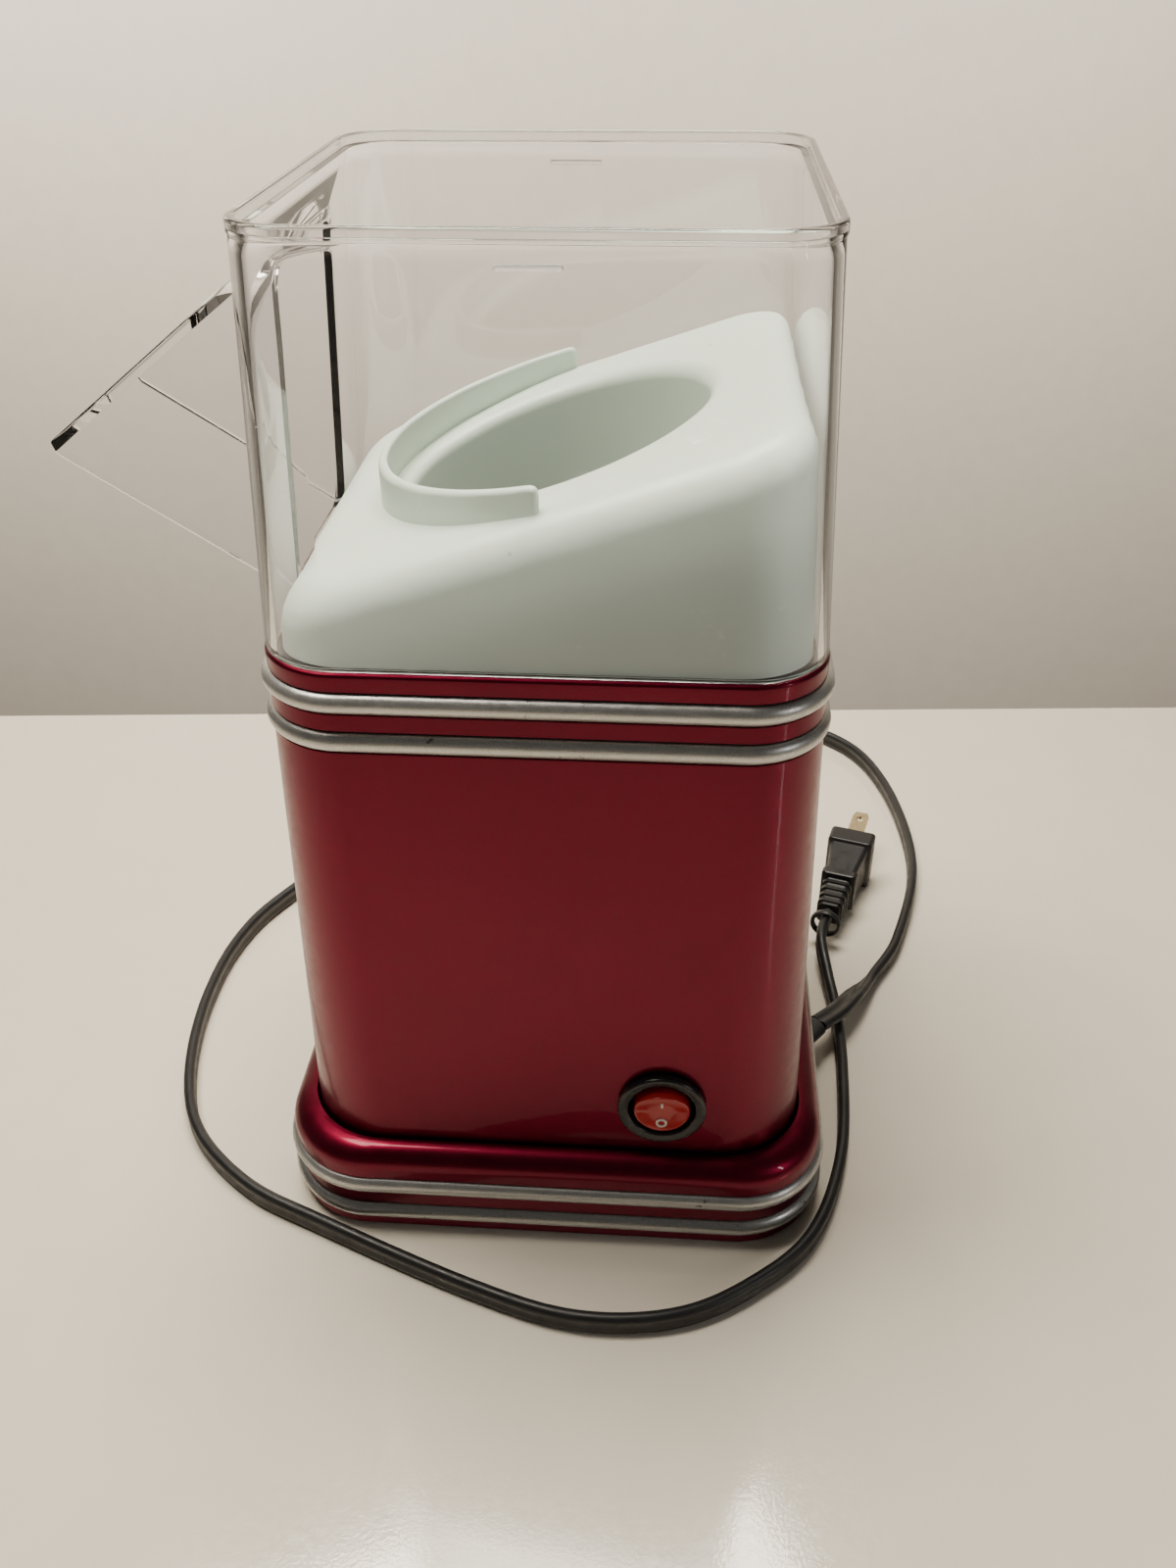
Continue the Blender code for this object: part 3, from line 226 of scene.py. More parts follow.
class Look:
    """A Principled material with a few helpers for its nodes."""

    def __init__(self, name, colour, roughness, **values):
        self.material = bpy.data.materials.new(name)
        self.material.use_nodes = True
        self.tree = self.material.node_tree
        self.shader = self.tree.nodes["Principled BSDF"]
        self.shader.inputs["Base Color"].default_value = (*colour, 1)
        self.shader.inputs["Roughness"].default_value = roughness
        for socket, value in values.items():
            self.shader.inputs[socket.replace("_", " ")].default_value = value
        self.coords = self.node("ShaderNodeTexCoord").outputs["Object"]

    def node(self, kind, **settings):
        made = self.tree.nodes.new(kind)
        for key, value in settings.items():
            setattr(made, key, value)
        return made

    def link(self, start, end):
        self.tree.links.new(start, end)

    def noise(self, scale, detail=3, rough=0.55, stretch=None):
        made = self.node("ShaderNodeTexNoise")
        made.inputs["Scale"].default_value = scale
        made.inputs["Detail"].default_value = detail
        made.inputs["Roughness"].default_value = rough
        self.link(self.stretched(stretch), made.inputs["Vector"])
        return made.outputs["Fac"]

    def stretched(self, stretch):
        if stretch is None:
            return self.coords
        mapping = self.node("ShaderNodeMapping")
        mapping.inputs["Scale"].default_value = stretch
        self.link(self.coords, mapping.inputs["Vector"])
        return mapping.outputs["Vector"]

    def cells(self, scale, output="Distance"):
        made = self.node("ShaderNodeTexVoronoi")
        made.inputs["Scale"].default_value = scale
        self.link(self.coords, made.inputs["Vector"])
        return made.outputs[output]

    def ramp(self, source, *stops):
        """Maps a value through (place, value or colour) stops."""
        made = self.node("ShaderNodeValToRGB")
        elements = made.color_ramp.elements
        while len(elements) < len(stops):
            elements.new(1)
        for element, (place, value) in zip(elements, stops):
            element.position = place
            element.color = (*value, 1) if isinstance(value, tuple) else (value, value, value, 1)
        self.link(source, made.inputs["Fac"])
        return made.outputs["Color"]

    def mix(self, share, first, second, kind="MIX"):
        made = self.node("ShaderNodeMix", data_type="RGBA", blend_type=kind)
        for socket, value in ((made.inputs[0], share), (made.inputs[6], first), (made.inputs[7], second)):
            if isinstance(value, bpy.types.NodeSocket):
                self.link(value, socket)
            else:
                socket.default_value = (*value, 1) if isinstance(value, tuple) else value
        return made.outputs[2]

    def colour(self, source):
        self.link(source, self.shader.inputs["Base Color"])

    def roughness(self, source, low, high):
        """Roughness from low to high as the source runs over its middle half."""
        made = self.node("ShaderNodeMapRange")
        made.inputs["From Min"].default_value = 0.3
        made.inputs["From Max"].default_value = 0.7
        made.inputs["To Min"].default_value = low
        made.inputs["To Max"].default_value = high
        self.link(source, made.inputs["Value"])
        self.link(made.outputs["Result"], self.shader.inputs["Roughness"])

    def bump(self, source, depth):
        """Bump of the given depth in metres."""
        made = self.node("ShaderNodeBump")
        made.inputs["Distance"].default_value = depth
        self.link(source, made.inputs["Height"])
        self.link(made.outputs["Normal"], self.shader.inputs["Normal"])
        self.link(made.outputs["Normal"], self.shader.inputs["Coat Normal"])


def plain(name, colour, roughness, **values):
    """A simple moulded or painted surface: faint mottle, and a fine texture in its gloss."""
    look = Look(name, colour, roughness, **values)
    mottle = look.noise(35, 4)
    darker = tuple(part * 0.90 for part in colour)
    look.colour(look.mix(mottle, darker, colour))
    look.roughness(look.noise(420, 3), max(roughness - 0.05, 0.02), roughness + 0.06)
    look.bump(look.noise(900, 2), 0.00002)
    return look.material


@cache
def red_metallic():
    """Candy red: a metallic layer with fine flake under a glossy clear coat."""
    look = Look("red_metallic", (0.135, 0.001, 0.018), 0.28,
                Metallic=0.92, Coat_Weight=0.25, Coat_Roughness=0.04)
    flake = look.ramp(look.cells(5200, "Color"), (0.0, 0.86), (1.0, 1.10))
    drift = look.mix(look.noise(14, 2), (0.115, 0.001, 0.015), (0.16, 0.002, 0.021))
    look.colour(look.mix(1.0, drift, flake, "MULTIPLY"))
    look.roughness(look.noise(260, 4), 0.30, 0.40)
    look.bump(look.noise(240, 2, 0.4), 0.00003)
    return look.material


def silver_paint():
    """Satin silver paint with flake, and small chips that show a darker undercoat."""
    look = Look("silver_paint", (0.52, 0.52, 0.50), 0.34, Metallic=0.85)
    flake = look.mix(look.cells(4200, "Color"), (0.44, 0.44, 0.43), (0.62, 0.62, 0.60))
    chips = look.ramp(look.noise(190, 5, 0.65), (0.68, 0.0), (0.70, 1.0))
    look.colour(look.mix(chips, flake, (0.22, 0.21, 0.20)))
    look.roughness(look.noise(600, 3), 0.28, 0.44)
    look.bump(look.noise(1500, 2), 0.00002)
    return look.material


def mint_white():
    """Pale moulded plastic, slightly green in the shade, with a few specks and scuffs."""
    look = Look("mint_white", (0.60, 0.70, 0.61), 0.36)
    base = look.mix(look.noise(9, 3), (0.57, 0.68, 0.59), (0.64, 0.73, 0.63))
    scuffs = look.ramp(look.noise(45, 8, 0.75, (1, 1, 1.8)), (0.62, 0.0), (0.72, 0.6))
    scuffed = look.mix(scuffs, base, (0.93, 0.94, 0.90))
    specks = look.ramp(look.cells(75), (0.0, 1.0), (0.035, 0.9), (0.055, 0.0))
    rare = look.ramp(look.noise(21, 2), (0.56, 0.0), (0.58, 1.0))
    look.colour(look.mix(look.mix(1.0, specks, rare, "MULTIPLY"), scuffed, (0.12, 0.12, 0.10)))
    look.roughness(look.noise(180, 4), 0.28, 0.42)
    look.bump(look.noise(420, 3), 0.00002)
    return look.material


def clear_plastic():
    """Clear moulded plastic: refracts, and lets lamps through so that the insert is lit."""
    look = Look("clear_plastic", (0.965, 0.960, 0.975), 0.02, Transmission_Weight=1.0, IOR=1.49)
    look.bump(look.noise(22, 2, 0.4), 0.00008)
    look.roughness(look.noise(90, 4), 0.010, 0.035)
    through = look.node("ShaderNodeBsdfTransparent")
    through.inputs["Color"].default_value = (0.93, 0.93, 0.94, 1)
    rays = look.node("ShaderNodeLightPath")
    blend = look.node("ShaderNodeMixShader")
    look.link(rays.outputs["Is Shadow Ray"], blend.inputs["Fac"])
    look.link(look.shader.outputs["BSDF"], blend.inputs[1])
    look.link(through.outputs["BSDF"], blend.inputs[2])
    output = next(node for node in look.tree.nodes if node.type == "OUTPUT_MATERIAL")
    look.link(blend.outputs["Shader"], output.inputs["Surface"])
    return look.material


@cache
def black_vinyl():
    look = Look("black_vinyl", (0.010, 0.010, 0.011), 0.42)
    look.colour(look.mix(look.noise(120, 4), (0.006, 0.006, 0.007), (0.015, 0.015, 0.016)))
    look.roughness(look.noise(300, 4), 0.34, 0.52)
    look.bump(look.noise(800, 3), 0.00004)
    return look.material


def metal(name, colour, roughness, stretch=(1, 1, 12)):
    """Plain metal with fine drawn or rolled lines along one axis."""
    look = Look(name, colour, roughness, Metallic=1.0)
    darker = tuple(part * 0.82 for part in colour)
    look.colour(look.mix(look.noise(60, 4), darker, colour))
    look.roughness(look.noise(500, 3, 0.6, stretch), max(roughness - 0.08, 0.05), roughness + 0.12)
    look.bump(look.noise(900, 2, 0.5, stretch), 0.00002)
    return look.material


def red_lens():
    look = Look("red_lens", (0.42, 0.012, 0.014), 0.16, Coat_Weight=0.6)
    look.colour(look.mix(look.noise(160, 3), (0.34, 0.008, 0.010), (0.50, 0.018, 0.018)))
    look.roughness(look.noise(400, 3), 0.10, 0.22)
    return look.material


# ---------------------------------------------------------------- shape helpers

def add_mesh(name, shape, look, angle=35):
    """Puts a bmesh in the scene at its place on the frame, shaded smooth up to an angle."""
    bmesh.ops.recalc_face_normals(shape, faces=shape.faces)
    bmesh.ops.translate(shape, vec=SHIFT, verts=shape.verts)
    mesh = bpy.data.meshes.new(name)
    shape.to_mesh(mesh)
    shape.free()
    thing = bpy.data.objects.new(name, mesh)
    bpy.context.scene.collection.objects.link(thing)
    if look:
        mesh.materials.append(look)
    smooth(thing, angle)
    return thing


def applied(thing, modifier):
    """Applies a piece's only modifier."""
    bpy.context.view_layer.update()
    mesh = bpy.data.meshes.new_from_object(thing.evaluated_get(bpy.context.evaluated_depsgraph_get()))
    thing.modifiers.remove(modifier)
    thing.data = mesh


def smooth(thing, angle):
    """Smooth shading up to an angle, in which large flat faces stay truly flat."""
    thing.data.shade_smooth()
    thing.data.set_sharp_from_angle(angle=math.radians(angle))
    weighted = thing.modifiers.new("weighted", "WEIGHTED_NORMAL")
    weighted.keep_sharp = True
    weighted.weight = 100
    applied(thing, weighted)


def skin(shape, rings, closed):
    """Faces between rings of equally many points. closed joins last to first; else caps."""
    loops = [[shape.verts.new(point) for point in points] for points in rings]
    for low, high in zip(loops, loops[1:] + loops[:1] if closed else loops[1:]):
        count = len(low)
        for index in range(count):
            following = (index + 1) % count
            shape.faces.new((low[index], low[following], high[following], high[index]))
    if not closed:
        shape.faces.new(loops[0][::-1])
        shape.faces.new(loops[-1])


def loft(name, rings, look, closed=False, angle=35):
    shape = bmesh.new()
    skin(shape, rings, closed)
    return add_mesh(name, shape, look, angle)


def rounded_square(half, radius, side_steps=1):
    points = []
    for corner in range(4):
        middle = math.radians(45 + 90 * corner)
        centre = Vector((math.cos(middle), math.sin(middle))) * math.sqrt(2) * (half - radius)
        for step in range(CORNER_STEPS + 1):
            angle = math.radians(90 * corner + 90 * step / CORNER_STEPS)
            points.append(centre + radius * Vector((math.cos(angle), math.sin(angle))))
        along = Vector((-math.sin(angle), math.cos(angle))) * 2 * (half - radius)
        points += [points[-1] + along * step / side_steps for step in range(1, side_steps)]
    return points


def square_ring(name, section, corner_of, look, angle=30):
    """A wall with this closed (half-width, height) section, carried round a rounded square."""
    rings = [[(point.x, point.y, height) for point in rounded_square(half, corner_of(half))]
             for half, height in section]
    return loft(name, rings, look, True, angle)


def arc(centre, radius, start, end, steps):
    """Points on an arc in the section plane; radius may be a pair, for an oval."""
    across, up = radius if isinstance(radius, tuple) else (radius, radius)
    turns = [math.radians(start + (end - start) * step / steps) for step in range(steps + 1)]
    return [(centre[0] + across * math.cos(turn), centre[1] + up * math.sin(turn)) for turn in turns]


def turned(name, profile, place, axis_turn, look, steps=64, closed=True, angle=35):
    """A (radius, height) profile turned about an axis through place. Open ones end on the axis."""
    matrix = Matrix.Translation(place) @ axis_turn.to_4x4()
    shape = bmesh.new()
    rows = []
    for radius, height in profile:
        if radius == 0:
            rows.append([shape.verts.new(matrix @ Vector((0, 0, height)))])
            continue
        rows.append([shape.verts.new(matrix @ Vector((radius * math.cos(math.tau * step / steps),
                                                      radius * math.sin(math.tau * step / steps), height)))
                     for step in range(steps)])
    for low, high in zip(rows, rows[1:] + rows[:1] if closed else rows[1:]):
        for step in range(steps):
            following = (step + 1) % steps
            corners = [low[step % len(low)], low[following % len(low)],
                       high[following % len(high)], high[step % len(high)]]
            unique = list(dict.fromkeys(corners))
            shape.faces.new(unique)
    return add_mesh(name, shape, look, angle)


def merged(target, tool, operation):
    """Applies a Boolean with tool to target, and removes tool."""
    modifier = target.modifiers.new("boolean", "BOOLEAN")
    modifier.operation = operation
    modifier.solver = "EXACT"
    modifier.object = tool
    applied(target, modifier)
    bpy.data.objects.remove(tool)
    smooth(target, 30)


def bevelled(thing, width, segments=2):
    modifier = thing.modifiers.new("bevel", "BEVEL")
    modifier.width = width
    modifier.segments = segments
    modifier.limit_method = "ANGLE"
    applied(thing, modifier)


def prism(name, outline, half_width, look=None):
    """An outline of (x, z) pairs thickened along Y."""
    shape = bmesh.new()
    rings = [[(x, side * half_width, z) for x, z in outline] for side in (-1, 1)]
    skin(shape, rings, False)
    return add_mesh(name, shape, look)


def show(piece, body, slot, *nodes):
    """Rides a piece on its body and lets it stand for its CAD nodes. The slot argument is not used."""
    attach(piece, body)
    if nodes:
        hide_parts(*nodes)
    return piece


# ---------------------------------------------------------------- cord and plug

def smooth_route(points, spacing):
    """Points at even spacing on a Catmull-Rom curve through the route."""
    route = [Vector(point) for point in points]
    ends = [2 * route[0] - route[1]] + route + [2 * route[-1] - route[-2]]
    fine = []
    for before, start, end, after in zip(ends, ends[1:], ends[2:], ends[3:]):
        for step in range(40):
            t = step / 40
            square = 2 * before - 5 * start + 4 * end - after
            cube = 3 * start - before - 3 * end + after
            fine.append(0.5 * (2 * start + (end - before) * t + square * t ** 2 + cube * t ** 3))
    fine.append(route[-1])
    travelled = [0.0]
    for start, end in zip(fine, fine[1:]):
        travelled.append(travelled[-1] + (end - start).length)
    count = round(travelled[-1] / spacing)
    placed, index = [], 0
    for step in range(count + 1):
        goal = travelled[-1] * step / count
        while index < len(fine) - 2 and travelled[index + 1] < goal:
            index += 1
        share = (goal - travelled[index]) / (travelled[index + 1] - travelled[index])
        point = fine[index].lerp(fine[index + 1], share)
        point.z = max(point.z, CORD_WIDTH / 2)
        placed.append(point)
    return placed, travelled[-1]


def cord_section():
    """Two round cores side by side with a web between: (along the width, across it)."""
    core = CORD_WIDTH / 4
    outline = []
    for side in (1, -1):
        for step in range(11):
            angle = math.radians(-130 + 260 * step / 10)
            outline.append((side * (core + core * math.cos(angle)), side * core * math.sin(angle)))
    return outline


def ease(value):
    value = min(max(value, 0), 1)
    return value * value * (3 - 2 * value)


def add_cord():
    """The cord leaves the side flat, then turns onto its edge and lies on the table."""
    points, length = smooth_route(CORD_ROUTE, 0.002)
    section = cord_section()
    rings = []
    for index, point in enumerate(points):
        along = (points[min(index + 1, len(points) - 1)] - points[max(index - 1, 0)]).normalized()
        side = along.cross(Vector((0, 0, 1))).normalized()
        up = side.cross(along)
        travelled = index / (len(points) - 1) * length
        lean = math.radians(90) * (1 - ease((travelled - 0.012) / 0.045))
        wide = up * math.cos(lean) + side * math.sin(lean)
        thin = along.cross(wide)
        rings.append([point + wide * a + thin * b for a, b in section])
    piece = loft("power_cord", rings, black_vinyl(), False, 50)
    path = [point + SHIFT for point in points]
    return piece, path, length


def oval(half_width, half_height, count=32):
    return [(half_width * math.cos(math.tau * step / count), half_height * math.sin(math.tau * step / count))
            for step in range(count)]


def rounded_rectangle(half_width, half_height, corner, steps=6):
    points = []
    for quarter in range(4):
        middle = math.radians(45 + 90 * quarter)
        x = math.copysign(half_width - corner, math.cos(middle))
        z = math.copysign(half_height - corner, math.sin(middle))
        for step in range(steps + 1):
            angle = math.radians(90 * quarter + 90 * step / steps)
            points.append((x + corner * math.cos(angle), z + corner * math.sin(angle)))
    return points


def placed_rings(outlines, place, turn):
    """Rings of (across, up) outlines at distances along +Y, turned about Z and moved to place."""
    matrix = Matrix.Translation(place) @ Matrix.Rotation(turn, 4, "Z")
    return [[matrix @ Vector((across, along, up)) for across, up in outline] for along, outline in outlines]


def add_relief():
    sections = [(-0.026, 0.0062), (-0.012, 0.0060), (-0.0075, 0.0054), (-0.0008, 0.0044), (0.0, 0.0039)]
    rings = placed_rings([(along, oval(half, 0.0020)) for along, half in sections],
                         RELIEF_EXIT, RELIEF_TURN - math.pi / 2)
    return loft("cord_relief", rings, black_vinyl())


def add_plug():
    """The moulded plug: two flanges, a tapered grip between them and a ribbed strain relief."""
    stations = [(-0.0385, 0.0036, 0.0038, 0.35), (-0.0382, 0.0040, 0.0042, 0.4)]
    ribs = [(-0.0362, 0.0041, 0.0044), (-0.0326, 0.0043, 0.0047),
            (-0.0290, 0.0046, 0.0050), (-0.0254, 0.0049, 0.0054)]
    for along, half, tall in ribs:
        for offset, grow in ((-0.0010, 0.0), (-0.0008, 0.0007), (0.0008, 0.0007), (0.0010, 0.0)):
            stations.append((along + offset, half + grow, tall + grow, 0.4))
    stations += [(-0.0236, 0.0050, 0.0058, 0.35), (-0.0234, 0.0064, 0.0078, 0.25),
                 (-0.0229, 0.0067, 0.0082, 0.22), (-0.0203, 0.0068, 0.0083, 0.22),
                 (-0.0198, 0.0064, 0.0079, 0.25), (-0.0195, 0.0056, 0.0071, 0.3),
                 (-0.0120, 0.0064, 0.0080, 0.28), (-0.0042, 0.0075, 0.0093, 0.25),
                 (-0.0038, 0.0083, 0.0103, 0.2), (-0.0033, 0.0087, 0.0107, 0.18),
                 (0.0034, 0.0088, 0.0108, 0.18), (0.0041, 0.0087, 0.0107, 0.18),
                 (PLUG_FACE, 0.0082, 0.0102, 0.2)]
    outlines = [(along, rounded_rectangle(half, tall, corner * half))
                for along, half, tall, corner in stations]
    body = loft("plug_moulding", placed_rings(outlines, PLUG_PLACE, PLUG_TURN), black_vinyl(), False, 40)
    brass = metal("blade_brass", (0.80, 0.66, 0.42), 0.26)
    blades = []
    for index in (1, 2):
        low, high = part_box(f"plug_blade_{index}")
        centre = (low + high) / 2 - SHIFT
        blades.append(add_blade(f"blade_{index}", centre, brass))
    return body, blades


def add_blade(name, centre, look):
    """A flat blade with a rounded tip and a round hole near it."""
    half_width, half_length, half_thick = 0.00635 / 2, 0.0175 / 2, 0.00075
    hole_at, hole_radius, count = half_length - 0.0045, 0.0016, 32
    shape = bmesh.new()
    matrix = Matrix.Translation(centre) @ Matrix.Rotation(PLUG_TURN, 4, "Z")
    outer, inner = [], []
    for step in range(count):
        angle = math.tau * step / count
        inner.append(Vector((hole_radius * math.cos(angle), hole_at + hole_radius * math.sin(angle), 0)))
        across, along = math.cos(angle), math.sin(angle)
        reach = half_width / max(abs(across), 0.001)
        room = half_length - hole_at if along > 0 else half_length + hole_at
        forward = room / max(abs(along), 0.001)
        scale = min(reach, forward)
        x, y = across * scale, hole_at + along * scale
        taper = 1 - 0.22 * ease((y - half_length + 0.003) / 0.003)
        outer.append(Vector((x * taper, y, 0)))
    lift = Vector((0, 0, half_thick))
    rings = [[matrix @ (point - lift) for point in outer], [matrix @ (point + lift) for point in outer],
             [matrix @ (point + lift) for point in inner], [matrix @ (point - lift) for point in inner]]
    skin(shape, rings, True)
    return add_mesh(name, shape, look, 30)


def add_tie():
    """The tie round the cord just behind the plug, as a plain ring."""
    along = Vector((-math.sin(PLUG_TURN), math.cos(PLUG_TURN), 0))
    place = PLUG_PLACE - along * 0.043
    shape = bmesh.new()
    side = along.cross(Vector((0, 0, 1)))
    rings = []
    for turn in range(36):
        angle = math.tau * turn / 36
        outward = side * math.cos(angle) + Vector((0, 0, 1)) * math.sin(angle)
        centre = place + outward * 0.0050 + Vector((0, 0, -0.0008))
        rings.append([centre + outward * 0.0008 * math.cos(math.tau * step / 10)
                      + along * 0.0016 * math.sin(math.tau * step / 10) for step in range(10)])
    skin(shape, rings, True)
    return add_mesh("cord_tie", shape, black_vinyl(), 60)


# ---------------------------------------------------------------- housing

def body_half(height):
    return BODY_FOOT_HALF - BODY_DRAFT * (height - BODY_FOOT_HEIGHT)


def body_corner(half):
    return BODY_CORNER + half - BODY_FOOT_HALF


def plinth_corner(half):
    return PLINTH_CORNER + half - PLINTH_HALF


def closing_corner(half):
    """The plinth's corner radius, which opens towards the housing's own as the shoulder nears it."""
    share = min((PLINTH_HALF - half) / (PLINTH_HALF - BODY_FOOT_HALF), 1)
    return plinth_corner(half) + share * (BODY_CORNER - plinth_corner(BODY_FOOT_HALF))


def plinth_wall(height):
    return PLINTH_HALF if height > BASE_BEAD_HEIGHTS[0] else PLINTH_HALF - 0.0002


def groove(outer, heights, radius):
    steps = []
    soft = 0.0002
    for height in sorted(heights):
        low, high = height - radius - GAP, height + radius + GAP
        depth = outer(height) - BEAD_RECESS
        steps += [(outer(low), low - soft), (outer(low) - soft, low), (depth, low), (depth, high),
                  (outer(high) - soft, high), (outer(high), high + soft)]
    return steps


def add_body():
    bottom = BODY_LOW.z
    top = BODY_HIGH.z
    inner = body_half(top) - BODY_WALL
    strip = body_half(top)
    section = ([(body_half(bottom), bottom)] + groove(body_half, TOP_BEAD_HEIGHTS, TOP_BEAD_RADIUS)
               + [(strip + 0.0002, top - 0.0022)] + arc((strip - 0.0008, top - 0.0010), 0.0010, 0, 90, 6)
               + [(inner + 0.0003, top), (inner, top - 0.0003), (body_half(bottom) - BODY_WALL, bottom)])
    shell = square_ring("housing", section, body_corner, red_metallic())
    centre = (BEZEL_LOW + BEZEL_HIGH) / 2
    face = Matrix.Rotation(math.radians(90), 3, "X")
    hole = turned("switch_hole", [(0, 0.01), (0.0104, 0.01), (0.0104, -0.03), (0, -0.03)],
                  Vector((centre.x, BEZEL_LOW.y, centre.z)), face, None, 48, False)
    merged(shell, hole, "DIFFERENCE")
    show(shell, "base", "red_plastic", "body_shell")


def add_plinth():
    low = PLINTH_LOW.z
    foot = PLINTH_HIGH.z - SHOULDER_RADIUS
    lip = body_half(foot) + 0.0004
    inner = PLINTH_HALF - 0.0022
    section = ([(PLINTH_HALF - 0.0006, low), (PLINTH_HALF, low + 0.0006)]
               + groove(plinth_wall, BASE_BEAD_HEIGHTS, BASE_BEAD_RADIUS)
               + arc((PLINTH_HALF - SHOULDER_RADIUS, foot), SHOULDER_RADIUS, 0, 90, 12)
               + [(lip + 0.0004, foot + SHOULDER_RADIUS - 0.0003), (lip, foot + SHOULDER_RADIUS - 0.0012),
                  (lip, foot + 0.0025), (inner - 0.0035, foot + 0.0010),
                  (inner, foot - 0.0035), (inner, low)])
    wall = square_ring("plinth_wall", section, closing_corner, red_metallic())
    along = (RELIEF_EXIT.x - PLINTH_HALF) * math.tan(RELIEF_TURN)
    slot = slab("slot", Vector((PLINTH_HALF - 0.006, RELIEF_EXIT.y - along - 0.0108, 0.01035)) + SHIFT,
                Vector((PLINTH_HALF + 0.006, RELIEF_EXIT.y - along + 0.0108, 0.01485)) + SHIFT)
    merged(wall, slot, "DIFFERENCE")
    show(wall, "base", "red_plastic", "plinth")


def add_beads():
    look = silver_paint()
    for name, height in zip(("trim_top_upper", "trim_top_lower"), TOP_BEAD_HEIGHTS):
        reach = box_of(name)[1].y
        back = body_half(height) - BEAD_BACK
        section = arc((back, height), (reach - back, TOP_BEAD_RADIUS), -90, 90, 16)
        show(square_ring("bead_" + name, section, body_corner, look, 50), "base", "silver_trim", name)
    for name, height in zip(("trim_base_upper", "trim_base_lower"), BASE_BEAD_HEIGHTS):
        reach = box_of(name)[1].y
        back = plinth_wall(height) - BEAD_BACK
        section = arc((back, height), (reach - back, BASE_BEAD_RADIUS), -90, 90, 16)
        show(square_ring("bead_" + name, section, plinth_corner, look, 50), "base", "silver_trim", name)


def add_feet():
    look = plain("foot_rubber", (0.03, 0.03, 0.032), 0.75)
    for index in range(1, 5):
        name = f"foot_{index}"
        low, high = box_of(name)
        radius = (high.x - low.x) / 2
        centre = (low + high) / 2
        profile = [(0, high.z), (radius, high.z)] + arc((radius - 0.0008, 0.0008), 0.0008, 0, -90, 6)
        profile += [(radius - 0.0020, 0.0), (radius - 0.0026, 0.0006), (0, 0.0006)]
        place = Vector((centre.x, centre.y, 0))
        piece = turned(f"rubber_{name}", profile, place, Matrix.Identity(3), look, 48, False)
        show(piece, "base", "rubber_foot", name)


# ---------------------------------------------------------------- cover and insert

def cover_half(height):
    share = (height - COVER_LOW.z) / (COVER_HIGH.z - COVER_LOW.z)
    return COVER_BOTTOM_HALF + share * (COVER_TOP_HALF - COVER_BOTTOM_HALF)


def cover_corner(half):
    return COVER_CORNER + half - COVER_BOTTOM_HALF


def add_cover():
    top, low = COVER_HIGH.z, COVER_LOW.z
    foot = top - 0.0034
    rim = COVER_TOP_HALF + 0.0005
    ledge = COVER_TOP_HALF - COVER_WALL + 0.0007
    inside = COVER_BOTTOM_HALF - COVER_WALL
    section = ([(COVER_BOTTOM_HALF - 0.0004, low), (COVER_BOTTOM_HALF, low + 0.0004),
                (cover_half(foot - 0.0004), foot - 0.0004)]
               + arc((rim - 0.0005, foot + 0.0006), 0.0005, -60, 0, 4)
               + arc((rim - 0.0008, top - 0.0008), 0.0008, 0, 90, 6)
               + arc((ledge + 0.0006, top - 0.0006), 0.0006, 90, 180, 5)
               + [(ledge, top - 0.0024), (ledge - 0.0002, top - 0.0026), (ledge - 0.0013, top - 0.0026),
                  (ledge - 0.0015, top - 0.0028), (ledge - 0.0015, top - 0.0042),
                  (cover_half(top - 0.007) - COVER_WALL, top - 0.007),
                  (inside, low + 0.0003), (inside + 0.0003, low)])
    shell = square_ring("clear_cover", section, cover_corner, clear_plastic())
    root_top = COVER_WALL / 2 - cover_half(HOOD_ROOT_TOP)
    root_bottom = COVER_WALL / 2 - cover_half(HOOD_ROOT_BOTTOM)
    outline = [(root_bottom, HOOD_ROOT_BOTTOM), HOOD_LIP, HOOD_LIP_TOP, (root_top, HOOD_ROOT_TOP)]
    hood = prism("hood", outline, HOOD_HALF)
    bevelled(hood, 0.0007, 3)
    rise = (HOOD_ROOT_TOP - HOOD_LIP_TOP[1]) / (root_top - HOOD_LIP_TOP[0])
    drop = HOOD_PLATE * math.hypot(1, rise)
    beyond = 0.030
    air = prism("air", [
        (root_top + beyond, HOOD_ROOT_TOP - drop + rise * beyond),
        (HOOD_LIP_TOP[0] - beyond, HOOD_LIP_TOP[1] - drop - rise * beyond),
        (HOOD_LIP_TOP[0] - beyond, HOOD_ROOT_BOTTOM - beyond),
        (root_top + beyond, HOOD_ROOT_BOTTOM - beyond)], CHUTE_HALF)
    merged(hood, air, "DIFFERENCE")
    doorway = slab("doorway", Vector((-COVER_BOTTOM_HALF - 0.015, -CHUTE_HALF, CHUTE_BOTTOM)) + SHIFT,
                   Vector((-COVER_BOTTOM_HALF + 0.015, CHUTE_HALF, CHUTE_TOP)) + SHIFT)
    bevelled(doorway, 0.006, 6)
    merged(shell, hood, "UNION")
    merged(shell, doorway, "DIFFERENCE")
    show(shell, "cover_body", "clear_plastic", "cover")
    for name, side in (("snap_bump_front", -1), ("snap_bump_back", 1)):
        bump = slab(name, (-0.007, -0.0005, -0.0006), (0.007, 0.0005, 0.0006))
        bevelled(bump, 0.0004, 3)
        inside = side * (cover_half(top - 0.0075) - COVER_WALL)
        bump.data.transform(Matrix.Translation(SHIFT + Vector((0, inside, top - 0.0078))))
        bump.data.materials.append(shell.data.materials[0])
        smooth(bump, 40)
        show(bump, "cover_body", "clear_plastic")


